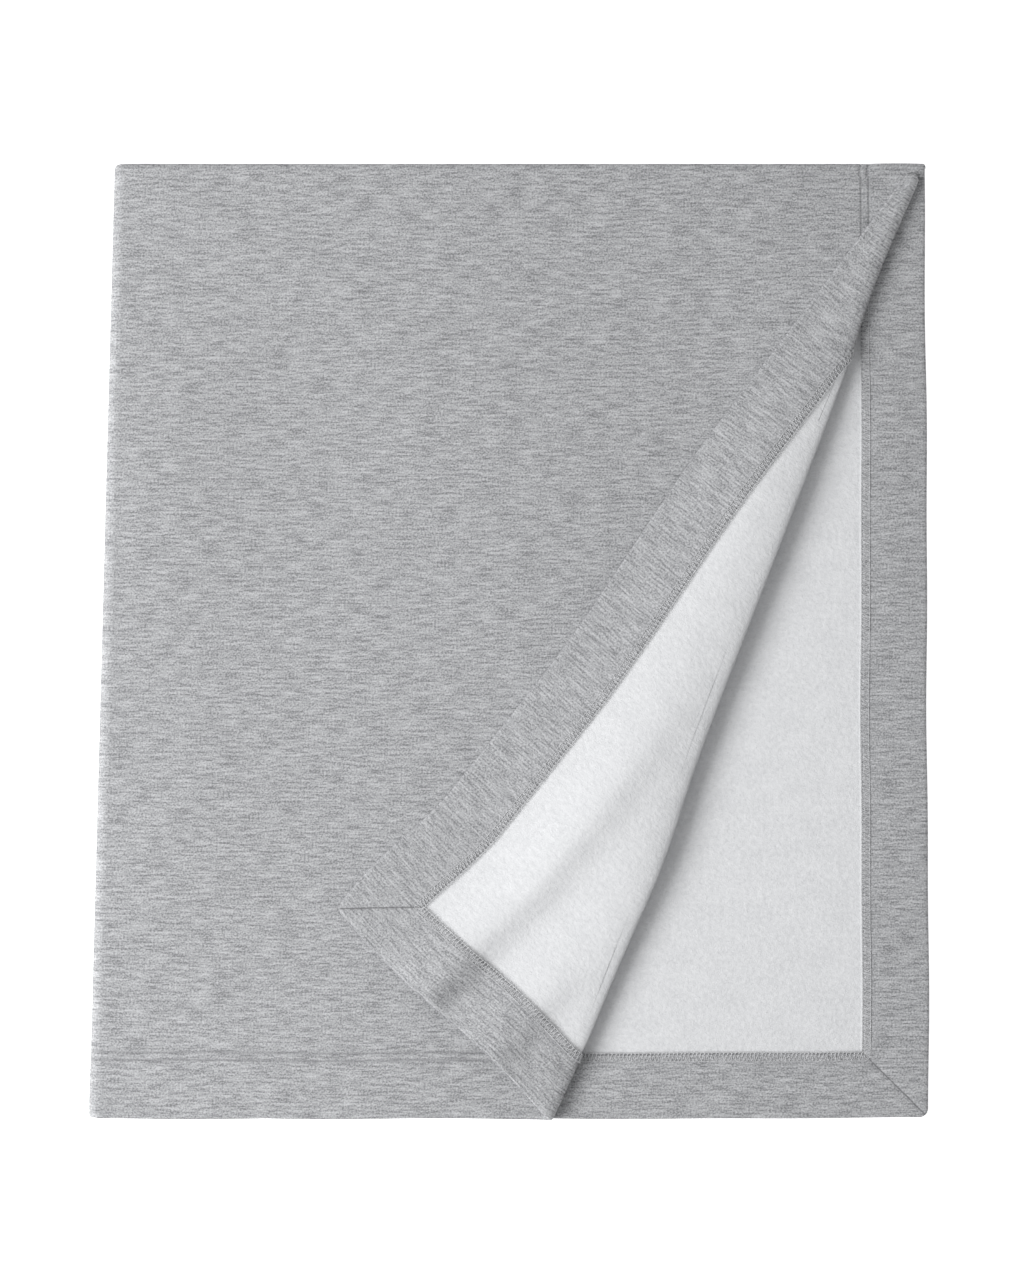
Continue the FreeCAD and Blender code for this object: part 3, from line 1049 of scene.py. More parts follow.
def build_heather_group() -> bpy.types.NodeTree:
    """Build the heather knit's shared group: streaked yarn colour and fine loops."""
    inputs = {
        "Cloth": "NodeSocketVector",
        "Light Yarn": "NodeSocketColor",
        "Dark Yarn": "NodeSocketColor",
    }
    outputs = {"Color": "NodeSocketColor", "Height": "NodeSocketFloat"}
    tree, source, sink = new_group("heather_knit", inputs, outputs)
    cloth = source.outputs["Cloth"]
    long_streak = tree.noise(tree.scaled(cloth, (60.0, 540.0, 1.0)), 1.0, 2.0, 0.6)
    short_streak = tree.noise(tree.scaled(cloth, (170.0, 640.0, 1.0)), 1.0, 2.0, 0.6)
    fleck = tree.noise(tree.scaled(cloth, (690.0, 760.0, 1.0)), 1.0, 2.0, 0.6)
    patch = tree.noise(tree.scaled(cloth, (46.0, 80.0, 1.0)), 1.0, 2.0, 0.5)
    streak = tree.math("MULTIPLY", long_streak, 0.36)
    streak = tree.math("MULTIPLY_ADD", short_streak, 0.12, streak)
    streak = tree.math("MULTIPLY_ADD", fleck, 0.52, streak)
    streak = tree.math("ADD", streak, tree.remap(patch, 0.3, 0.7, -0.018, 0.018))
    share = tree.remap(streak, 0.396, 0.604, 0.0, 1.0)
    colour = tree.mix(share, source.outputs["Dark Yarn"], source.outputs["Light Yarn"])
    split = tree.add("ShaderNodeSeparateXYZ")
    tree.feed(split.inputs[0], cloth)
    drift = tree.noise(tree.scaled(cloth, (300.0, 300.0, 1.0)), 1.0, 1.0, 0.5)
    waves = []
    for axis, (pace, wander) in enumerate((WALE_WAVE, COURSE_WAVE)):
        bent = tree.math("MULTIPLY", drift, wander)
        waves.append(tree.math("SINE", tree.math("MULTIPLY_ADD", split.outputs[axis], pace, bent)))
    wale, course = waves
    rows = tree.math("MULTIPLY_ADD", course, 0.3, 0.7)
    loops = tree.math("MULTIPLY", tree.math("ABSOLUTE", wale), rows)
    height = tree.math("MULTIPLY_ADD", loops, 0.35, tree.math("MULTIPLY", streak, 0.9))
    tree.feed(sink.inputs["Color"], colour)
    tree.feed(sink.inputs["Height"], height)
    return tree.tree


def build_nap_group() -> bpy.types.NodeTree:
    """Build the brushed fleece's shared group: soft clumps and short fuzz."""
    inputs = {"Cloth": "NodeSocketVector", "Bright": "NodeSocketColor", "Shaded": "NodeSocketColor"}
    outputs = {"Color": "NodeSocketColor", "Height": "NodeSocketFloat"}
    tree, source, sink = new_group("brushed_nap", inputs, outputs)
    cloth = source.outputs["Cloth"]
    clump = tree.noise(tree.scaled(cloth, (240.0, 300.0, 1.0)), 1.0, 3.0, 0.6)
    fuzz = tree.noise(tree.scaled(cloth, (900.0, 1000.0, 1.0)), 1.0, 2.0, 0.65)
    drift = tree.noise(tree.scaled(cloth, (45.0, 60.0, 1.0)), 1.0, 2.0, 0.5)
    pile = tree.math("MULTIPLY", clump, 0.5)
    pile = tree.math("MULTIPLY_ADD", fuzz, 0.29, pile)
    pile = tree.math("MULTIPLY_ADD", drift, 0.21, pile)
    share = tree.remap(pile, 0.36, 0.62, 0.0, 1.0)
    tree.feed(sink.inputs["Color"], tree.mix(share, source.outputs["Shaded"], source.outputs["Bright"]))
    pile_relief = tree.math("MULTIPLY_ADD", clump, 1.4, tree.math("MULTIPLY", fuzz, 0.5))
    tree.feed(sink.inputs["Height"], pile_relief)
    return tree.tree


@dataclass(frozen=True)
class YarnFinish:
    """Colours and gloss of the heather knit face."""

    light: Colour = (0.545, 0.550, 0.564, 1.0)
    dark: Colour = (0.205, 0.208, 0.216, 1.0)
    roughness: float = 0.92
    sheen: float = 0.10
    loop_height: float = 0.00022


@dataclass(frozen=True)
class NapFinish:
    """Colours and gloss of the brushed fleece back."""

    bright: Colour = (0.725, 0.731, 0.744, 1.0)
    shaded: Colour = (0.613, 0.620, 0.634, 1.0)
    roughness: float = 0.97
    pile_height: float = 0.00048


@dataclass(frozen=True)
class ThreadFinish:
    """Colours of a sewing thread."""

    light: Colour
    dark: Colour
    roughness: float = 0.75


class Finishes:
    """Makes and keeps the throw's materials."""

    def __init__(self, yarn: YarnFinish, nap: NapFinish) -> None:
        """Build the shared groups and every material."""
        self.yarn = yarn
        self.nap = nap
        self.heather = build_heather_group()
        self.brushed = build_nap_group()
        self.knit_face = self._knit_face()
        self.fleece_face = self._fleece_face()
        self.needle = self._thread(
            "needle_thread", ThreadFinish((0.50, 0.505, 0.517, 1), (0.33, 0.334, 0.344, 1))
        )
        self.looper = self._thread(
            "looper_thread", ThreadFinish((0.66, 0.665, 0.677, 1), (0.44, 0.445, 0.456, 1))
        )
        self.seam = self._thread(
            "seam_thread", ThreadFinish((0.20, 0.202, 0.209, 1), (0.12, 0.122, 0.127, 1))
        )

    def cloth(self) -> list[bpy.types.Material]:
        """Return the materials of a sheet's two faces."""
        return [self.knit_face, self.fleece_face]

    def _start(self, name: str) -> tuple[bpy.types.Material, NodeTree, bpy.types.Node]:
        """Start a material and return it with its tree and its shader."""
        material = bpy.data.materials.new(name)
        material.use_nodes = True
        tree = NodeTree(material.node_tree)
        shader = next(n for n in material.node_tree.nodes if n.type == "BSDF_PRINCIPLED")
        shader.inputs["Specular IOR Level"].default_value = 0.18
        return material, tree, shader

    def _uv(self, tree: NodeTree, name: str) -> bpy.types.NodeSocket:
        """Return one of the cloth's own UV maps."""
        return tree.add("ShaderNodeUVMap", uv_map=name).outputs[0]

    def _heather(self, tree: NodeTree, cloth: object) -> bpy.types.Node:
        """Place the heather group in a material."""
        node = tree.add("ShaderNodeGroup", node_tree=self.heather)
        tree.feed(node.inputs["Cloth"], cloth)
        tree.feed(node.inputs["Light Yarn"], self.yarn.light)
        tree.feed(node.inputs["Dark Yarn"], self.yarn.dark)
        return node

    def _hem_relief(
        self, tree: NodeTree, hem: object, rows: tuple[float, ...], width: float
    ) -> bpy.types.NodeSocket:
        """Return a mask that is 1 along rows parallel to the hemmed edges."""
        split = tree.add("ShaderNodeSeparateXYZ")
        tree.feed(split.inputs[0], hem)
        total: object = 0.0
        for edge in (split.outputs[0], split.outputs[1]):
            for row in rows:
                away = tree.math("ABSOLUTE", tree.math("SUBTRACT", edge, row))
                total = tree.math("ADD", total, tree.remap(away, 0.0, width, 1.0, 0.0))
        return tree.math("MINIMUM", total, 1.0)

    def _bump(self, tree: NodeTree, shader: bpy.types.Node, height: object, distance: float) -> None:
        """Feed a height to the shader's normal."""
        node = tree.add("ShaderNodeBump")
        node.inputs["Strength"].default_value = 1.0
        node.inputs["Distance"].default_value = distance
        tree.feed(node.inputs["Height"], height)
        tree.feed(shader.inputs["Normal"], node.outputs["Normal"])

    def _knit_face(self) -> bpy.types.Material:
        """Make the heather grey knit face, with painted shade along its needle rows."""
        material, tree, shader = self._start("heather_knit_face")
        heather = self._heather(tree, self._uv(tree, "Cloth"))
        # Painted shade: the knit is darkened towards the dark yarn along the needle rows, standing for
        # shade in the stitch grooves; the same mask also sinks the bump there.
        stitch_groove_shade = self._hem_relief(tree, self._uv(tree, "Hem"), CLOTH.needle_rows, 0.0014)
        colour = tree.mix(
            tree.math("MULTIPLY", stitch_groove_shade, 0.60), heather.outputs["Color"], self.yarn.dark
        )
        tree.feed(shader.inputs["Base Color"], colour)
        height = tree.math("MULTIPLY_ADD", stitch_groove_shade, -2.0, heather.outputs["Height"])
        self._bump(tree, shader, height, self.yarn.loop_height)
        shader.inputs["Roughness"].default_value = self.yarn.roughness
        shader.inputs["Sheen Weight"].default_value = self.yarn.sheen
        shader.inputs["Sheen Roughness"].default_value = 0.5
        return material

    def _fleece_face(self) -> bpy.types.Material:
        """Make the fleece face, with the knit that its hems turn over onto it, and painted shade down
        its mitre crack and along its hem lines.
        """
        material, tree, shader = self._start("fleece_face_with_hems")
        cloth, hem = self._uv(tree, "Cloth"), self._uv(tree, "Hem")
        split = tree.add("ShaderNodeSeparateXYZ")
        tree.feed(split.inputs[0], hem)
        nearest = tree.math("MINIMUM", split.outputs[0], split.outputs[1])
        side_hem = tree.math("LESS_THAN", split.outputs[0], split.outputs[1])
        shift = tree.add("ShaderNodeCombineXYZ")
        tree.feed(shift.inputs[0], tree.math("MULTIPLY", side_hem, 0.371))
        tree.feed(shift.inputs[1], tree.math("MULTIPLY_ADD", side_hem, 0.183, 0.093))
        moved = tree.add("ShaderNodeVectorMath", operation="ADD")
        tree.feed(moved.inputs[0], cloth)
        tree.feed(moved.inputs[1], shift.outputs[0])
        heather = self._heather(tree, moved.outputs[0])
        nap = tree.add("ShaderNodeGroup", node_tree=self.brushed)
        tree.feed(nap.inputs["Cloth"], cloth)
        tree.feed(nap.inputs["Bright"], self.nap.bright)
        tree.feed(nap.inputs["Shaded"], self.nap.shaded)
        edge = CLOTH.hem_width
        band = tree.remap(nearest, edge - 0.0002, edge + 0.0003, 1.0, 0.0)
        colour = tree.mix(band, nap.outputs["Color"], heather.outputs["Color"])
        # Painted shade: a near-black line down the mitre crack, where the two turned hem plies meet.
        across = tree.math("ABSOLUTE", tree.math("SUBTRACT", split.outputs[0], split.outputs[1]))
        mitre_crack_shade = tree.remap(across, 0.0, 0.0013, 1.0, 0.0)
        mitre_crack_shade = tree.math("MULTIPLY", mitre_crack_shade, band)
        colour = tree.mix(tree.math("MULTIPLY", mitre_crack_shade, 0.72), colour, (0.10, 0.10, 0.105, 1.0))
        # Painted shade: dark lines at the hem's inner edge and just outside the looper band, where the
        # hem ply steps down onto the fleece.
        for middle, line_shade_strength in ((edge + 0.0001, 0.45), (edge - 0.0066, 0.14)):
            away = tree.math("ABSOLUTE", tree.math("SUBTRACT", nearest, middle))
            line = tree.remap(away, 0.0, 0.0009, line_shade_strength, 0.0)
            colour = tree.mix(line, colour, self.yarn.dark)
        tree.feed(shader.inputs["Base Color"], colour)
        tree.feed(
            shader.inputs["Roughness"],
            tree.blend_value(band, self.nap.roughness, self.yarn.roughness),
        )
        pile = tree.math("MULTIPLY", nap.outputs["Height"], self.nap.pile_height / self.yarn.loop_height)
        height = tree.blend_value(band, pile, heather.outputs["Height"])
        self._bump(tree, shader, height, self.yarn.loop_height)
        shader.inputs["Sheen Weight"].default_value = 0.12
        shader.inputs["Sheen Roughness"].default_value = 0.6
        return material

    def _thread(self, name: str, finish: ThreadFinish) -> bpy.types.Material:
        """Make a sewing thread, mottled like spun polyester."""
        material, tree, shader = self._start(name)
        place = tree.add("ShaderNodeTexCoord").outputs["Object"]
        grain = tree.noise(place, 900.0, 2.0, 0.6)
        share = tree.remap(grain, 0.38, 0.62, 0.0, 1.0)
        tree.feed(shader.inputs["Base Color"], tree.mix(share, finish.dark, finish.light))
        self._bump(tree, shader, tree.noise(place, 2600.0, 1.0, 0.5), 0.0001)
        shader.inputs["Roughness"].default_value = finish.roughness
        shader.inputs["Sheen Weight"].default_value = 0.15
        return material


class StitchKind(Enum):
    """The kinds of stitching on the throw."""

    NEEDLE = "needle"
    LOOPER = "looper"
    SEAM = "seam"


@dataclass(frozen=True)
class StitchSizes:
    """Sizes of one kind of stitch."""

    pitch: float
    length: float
    radius: float
    width: float
    sink: float


STITCHES = {
    StitchKind.NEEDLE: StitchSizes(0.0030, 0.0025, 0.00030, 0.0, 0.00010),
    StitchKind.LOOPER: StitchSizes(0.0030, 0.0030, 0.00026, CLOTH.looper_width, -0.00015),
    StitchKind.SEAM: StitchSizes(0.0042, 0.0030, 0.00034, 0.0, 0.0001),
}


class StitchTree:
    """A Geometry Nodes tree that lays one kind of stitch along paths on the cloth."""

    def __init__(self, kind: StitchKind, material: bpy.types.Material) -> None:
        """Build the tree."""
        self.kind = kind
        self.sizes = STITCHES[kind]
        self.material = material
        self.group = bpy.data.node_groups.new("lay_%s_stitches" % kind.value, "GeometryNodeTree")
        self.tree = NodeTree(self.group)
        self._sockets()
        self._build()

    def _sockets(self) -> None:
        """Add the tree's named inputs and its output."""
        face = self.group.interface
        face.new_socket("Geometry", in_out="INPUT", socket_type="NodeSocketGeometry")
        for name in ("Pitch", "Length", "Radius", "Width"):
            face.new_socket(name, in_out="INPUT", socket_type="NodeSocketFloat")
        face.new_socket("Seed", in_out="INPUT", socket_type="NodeSocketInt")
        face.new_socket("Thread", in_out="INPUT", socket_type="NodeSocketMaterial")
        face.new_socket("Geometry", in_out="OUTPUT", socket_type="NodeSocketGeometry")

    def _build(self) -> None:
        """Add the tree's nodes."""
        tree = self.tree
        source, sink = tree.add("NodeGroupInput"), tree.add("NodeGroupOutput")
        path = tree.add("GeometryNodeMeshToCurve")
        tree.feed(path.inputs["Mesh"], source.outputs["Geometry"])
        even = tree.add("GeometryNodeResampleCurve", mode="LENGTH")
        tree.feed(even.inputs["Curve"], path.outputs[0])
        tree.feed(even.inputs["Length"], source.outputs["Pitch"])
        stitch = self._looper(source) if self.kind is StitchKind.LOOPER else self._needle(source)
        normal = tree.add("GeometryNodeInputNamedAttribute", data_type="FLOAT_VECTOR")
        normal.inputs["Name"].default_value = "face_normal"
        turn = tree.add("FunctionNodeAxesToRotation", primary_axis="X", secondary_axis="Z")
        tree.feed(turn.inputs["Primary Axis"], tree.add("GeometryNodeInputTangent").outputs[0])
        tree.feed(turn.inputs["Secondary Axis"], normal.outputs["Attribute"])
        wobble = tree.add("FunctionNodeRandomValue", data_type="FLOAT_VECTOR")
        wobble.inputs[0].default_value = (-0.04, -0.06, -0.07)
        wobble.inputs[1].default_value = (0.04, 0.06, 0.07)
        tree.feed(wobble.inputs["Seed"], source.outputs["Seed"])
        spin = tree.add("FunctionNodeRotateRotation", rotation_space="LOCAL")
        tree.feed(spin.inputs[0], turn.outputs[0])
        tree.feed(spin.inputs[1], wobble.outputs[0])
        lay = tree.add("GeometryNodeInstanceOnPoints")
        tree.feed(lay.inputs["Points"], even.outputs[0])
        tree.feed(lay.inputs["Instance"], stitch)
        tree.feed(lay.inputs["Rotation"], spin.outputs[0])
        real = tree.add("GeometryNodeRealizeInstances")
        tree.feed(real.inputs[0], lay.outputs[0])
        dress = tree.add("GeometryNodeSetMaterial")
        tree.feed(dress.inputs["Geometry"], real.outputs[0])
        tree.feed(dress.inputs["Material"], source.outputs["Thread"])
        tree.feed(sink.inputs[0], dress.outputs[0])

    def _vector(self, x: object, y: object, z: object) -> bpy.types.NodeSocket:
        """Return a vector made of three values."""
        node = self.tree.add("ShaderNodeCombineXYZ")
        for socket, value in zip(node.inputs, (x, y, z)):
            self.tree.feed(socket, value)
        return node.outputs[0]

    def _needle(self, source: bpy.types.Node) -> bpy.types.NodeSocket:
        """Return one short, full stitch that dips in at both ends."""
        tree = self.tree
        bead = tree.add("GeometryNodeMeshUVSphere")
        bead.inputs["Segments"].default_value = 6
        bead.inputs["Rings"].default_value = 5
        bead.inputs["Radius"].default_value = 1.0
        turn = tree.add("GeometryNodeTransform")
        turn.inputs["Rotation"].default_value = (0.0, math.pi / 2, 0.0)
        tree.feed(turn.inputs["Geometry"], bead.outputs["Mesh"])
        size = tree.add("GeometryNodeTransform")
        tree.feed(size.inputs["Geometry"], turn.outputs[0])
        half = tree.math("MULTIPLY", source.outputs["Length"], 0.5)
        radius = source.outputs["Radius"]
        tree.feed(size.inputs["Scale"], self._vector(half, radius, radius))
        smooth_faces = tree.add("GeometryNodeSetShadeSmooth")
        tree.feed(smooth_faces.inputs[0], size.outputs[0])
        return smooth_faces.outputs[0]

    def _looper(self, source: bpy.types.Node) -> bpy.types.NodeSocket:
        """Return one repeat of the looper's net: two crossing threads between two rails."""
        tree = self.tree
        half_pitch = tree.math("MULTIPLY", source.outputs["Pitch"], 0.5)
        half_width = tree.math("MULTIPLY", source.outputs["Width"], 0.5)
        back_pitch = tree.math("MULTIPLY", half_pitch, -1.0)
        back_width = tree.math("MULTIPLY", half_width, -1.0)
        over = tree.math("MULTIPLY", source.outputs["Radius"], 0.9)
        ends = [
            (self._vector(back_pitch, back_width, 0.0), self._vector(half_pitch, half_width, over)),
            (
                self._vector(half_pitch, back_width, over),
                self._vector(tree.math("MULTIPLY", half_pitch, 0.4), half_width, 0.0),
            ),
            (self._vector(back_pitch, back_width, over), self._vector(half_pitch, back_width, over)),
            (self._vector(back_pitch, half_width, over), self._vector(half_pitch, half_width, over)),
        ]
        circle = tree.add("GeometryNodeCurvePrimitiveCircle")
        circle.inputs["Resolution"].default_value = 5
        tree.feed(circle.inputs["Radius"], source.outputs["Radius"])
        together = tree.add("GeometryNodeJoinGeometry")
        for start, end in ends:
            line = tree.add("GeometryNodeCurvePrimitiveLine")
            tree.feed(line.inputs["Start"], start)
            tree.feed(line.inputs["End"], end)
            tube = tree.add("GeometryNodeCurveToMesh")
            tree.feed(tube.inputs["Curve"], line.outputs[0])
            tree.feed(tube.inputs["Profile Curve"], circle.outputs[0])
            tube.inputs["Fill Caps"].default_value = True
            tree.feed(together.inputs[0], tube.outputs[0])
        smooth_faces = tree.add("GeometryNodeSetShadeSmooth")
        tree.feed(smooth_faces.inputs[0], together.outputs[0])
        return smooth_faces.outputs[0]

    def sew(self, name: str, paths: list[tuple[np.ndarray, np.ndarray]], seed: int) -> bpy.types.Object:
        """Lay the stitches along paths and return them as a plain mesh.

        Args:
            name: Name of the new piece.
            paths: Points and face normals of each path.
            seed: Seed for the small differences between stitches.

        Returns:
            The new piece, linked to the scene.
        """
        carrier = self._carrier(name, paths)
        modifier = carrier.modifiers.new("stitches", "NODES")
        modifier.node_group = self.group
        values = {
            "Pitch": self.sizes.pitch,
            "Length": self.sizes.length,
            "Radius": self.sizes.radius,
            "Width": self.sizes.width,
            "Seed": seed,
            "Thread": self.material,
        }
        for item in self.group.interface.items_tree:
            if item.in_out == "INPUT" and item.name in values:
                modifier[item.identifier] = values[item.name]
        evaluated = carrier.evaluated_get(bpy.context.evaluated_depsgraph_get())
        mesh = bpy.data.meshes.new_from_object(evaluated)
        bpy.data.objects.remove(carrier, do_unlink=True)
        piece = bpy.data.objects.new(name, mesh)
        bpy.context.collection.objects.link(piece)
        return piece

    def _carrier(self, name: str, paths: list[tuple[np.ndarray, np.ndarray]]) -> bpy.types.Object:
        """Return an object whose edges run along the paths, with their face normals."""
        points, normals, edges = [], [], []
        for place, normal in paths:
            first = len(points)
            raised = place - normal * self.sizes.sink
            points.extend(raised.tolist())
            normals.extend(normal.tolist())
            edges.extend((first + i, first + i + 1) for i in range(len(place) - 1))
        mesh = bpy.data.meshes.new(name + "_path")
        mesh.from_pydata(points, edges, [])
        attribute = mesh.attributes.new("face_normal", "FLOAT_VECTOR", "POINT")
        attribute.data.foreach_set("vector", np.array(normals, dtype=np.float32).ravel())
        carrier = bpy.data.objects.new(name + "_path", mesh)
        bpy.context.collection.objects.link(carrier)
        return carrier


Path = tuple[np.ndarray, np.ndarray]


class StitchPaths:
    """Finds the lines on the cloth that the stitching follows."""

    def __init__(self, layers: FoldedLayers, corner: TurnedCorner, step: float = 0.004) -> None:
        """Keep the shapes that the lines lie on."""
        self.layers = layers
        self.corner = corner
        self.step = step

    def _run(self, start: float, end: float) -> np.ndarray:
        """Return even stations between two values."""
        return np.linspace(start, end, max(3, int(abs(end - start) / self.step)))

    def _on(self, parts: list[Samples], side: ClothSide) -> Path:
        """Return a path on one face of the cloth that runs through the parts in turn."""
        points = [part.face(side) for part in parts]
        sign = 1.0 if side is ClothSide.KNIT else -1.0
        return np.concatenate(points), np.concatenate([part.normal for part in parts]) * sign

    def _flat(self, layer: Layer, across: object, front: object) -> Samples:
        """Return a line of samples on a flat layer."""
        across, front = np.broadcast_arrays(np.asarray(across, float), np.asarray(front, float))
        return self.layers.flat(layer, across.copy(), front.copy())

    def _flap(self, y: object, side: object) -> Samples:
        """Return a line of samples on the flap, with true normals."""
        y, side = np.broadcast_arrays(np.asarray(y, float), np.asarray(side, float))
        small = 0.0008
        across_line = np.ptp(side) < np.ptp(y)
        nudge = np.array([-small, 0.0, small])
        ys = y[:, None] + (0.0 * nudge if across_line else nudge)
        sides = side[:, None] + (nudge if across_line else 0.0 * nudge)
        strip = self.corner.flap(ys, sides)
        columns = (strip.place, strip.normal, strip.cloth, strip.hem, strip.end)
        return Samples(*(values[:, 1] for values in columns))

    def pair(self, pair: Pair, row: float, side: ClothSide) -> list[Path]:
        """Return a hem row's line over a pair of layers and the back roll between them."""
        corner = PLAN.nominal_width - row
        margin = STACK.roll_margin
        down, up = self._run(depth(), row), self._run(row, depth())
        if pair is Pair.LOWER:
            turn = np.linspace(0, math.pi, 9)
            parts = [
                self._flat(Layer.BOTTOM, self._run(margin, corner), row),
                self._flat(Layer.BOTTOM, corner, up),
                self.layers.back_roll(pair, np.full_like(turn, corner), turn),
                self._flat(Layer.THIRD, corner, down),
                self._flat(Layer.THIRD, self._run(corner, margin), row),
            ]
            return [self._on(parts, side)]
        turn = np.linspace(math.pi, 0, 9)
        fronts = down[self.corner.axis_cloth(down + PLAN.front_y) > corner - 0.002]
        parts = [
            self._flat(Layer.SECOND, self._run(margin, corner), row),
            self._flat(Layer.SECOND, corner, up),
            self.layers.back_roll(pair, np.full_like(turn, corner), turn),
            self._flat(Layer.TOP, corner, fronts),
        ]
        last = float(self.corner.axis_cloth(np.array(row + PLAN.front_y)))
        front_row = self._flat(Layer.TOP, self._run(margin, last), row)
        return [self._on(parts, side), self._on([front_row], side)]

    def crease(self, row: float, side: ClothSide) -> list[Path]:
        """Return a hem row's lines over the roll along the crease."""
        turn = np.linspace(-math.pi / 2, math.pi / 2, 15)
        front = self.corner.roll(np.full_like(turn, PLAN.front_y + row), turn)
        outward = self.corner.frame_vectors()[1][0]
        ys = np.linspace(PLAN.front_y, STACK.flap_start - 0.003, 900)
        length = self.corner.row_length(ys)
        turns = math.pi / 2 - (row - length) * outward * math.pi / self.corner.wrap(ys)
        keep = (turns > -math.pi / 2) & (turns < math.pi / 2)
        slanted = self.corner.roll(ys[keep][::8], turns[keep][::8])
        return [self._on([front], side), self._on([slanted], side)]

    def flap(self, row: float, side: ClothSide) -> list[Path]:
        """Return a hem row's line along the flap's long edge, round its corner and along its front."""
        ys = np.linspace(STACK.flap_start - 0.003, PLAN.front_y + row, 190)
        ys = ys[self.corner.row_length(ys) > row]
        front = PLAN.front_y + row
        length = float(self.corner.row_length(np.array(front)))
        parts = [self._flap(ys, row), self._flap(front, self._run(row, length))]
        return [self._on(parts, side)]

    def left(self, outer: bool, row: float, side: ClothSide) -> list[Path]:
        """Return a hem row's line round one ply of the left roll."""
        low, high = (Layer.BOTTOM, Layer.TOP) if outer else (Layer.THIRD, Layer.SECOND)
        turn = np.linspace(0, math.pi, 15)
        parts = [
            self._flat(low, np.linspace(STACK.roll_margin, STACK.roll_margin / 2, 2), row),
            self.layers.left_roll(outer, turn, np.full_like(turn, row)),
            self._flat(high, np.linspace(STACK.roll_margin / 2, STACK.roll_margin, 2), row),
        ]
        return [self._on(parts, side)]

    def mitre(self, layer: Layer) -> list[Path]:
        """Return the line of the seam that closes a layer's hem corner."""
        inward = np.linspace(0.0035, CLOTH.hem_width - 0.002, 30)
        line = self._flat(layer, PLAN.nominal_width - inward, inward)
        return [self._on([line], ClothSide.FLEECE)]

    def flap_mitre(self) -> list[Path]:
        """Return the line of the seam that closes the flap's hem corner."""
        inward = np.linspace(0.0035, CLOTH.hem_width - 0.002, 30)
        return [self._on([self._flap(PLAN.front_y + inward, inward)], ClothSide.FLEECE)]


@dataclass(frozen=True)
class SheetPlan:
    """What one sheet of cloth is called, rides on, and stands for."""

    name: str
    samples: Samples
    body: Body
    joins: Body | None
    blend_from: float
    blend_to: float
    rests_on: tuple[str, ...]
    nodes: tuple[str, ...]


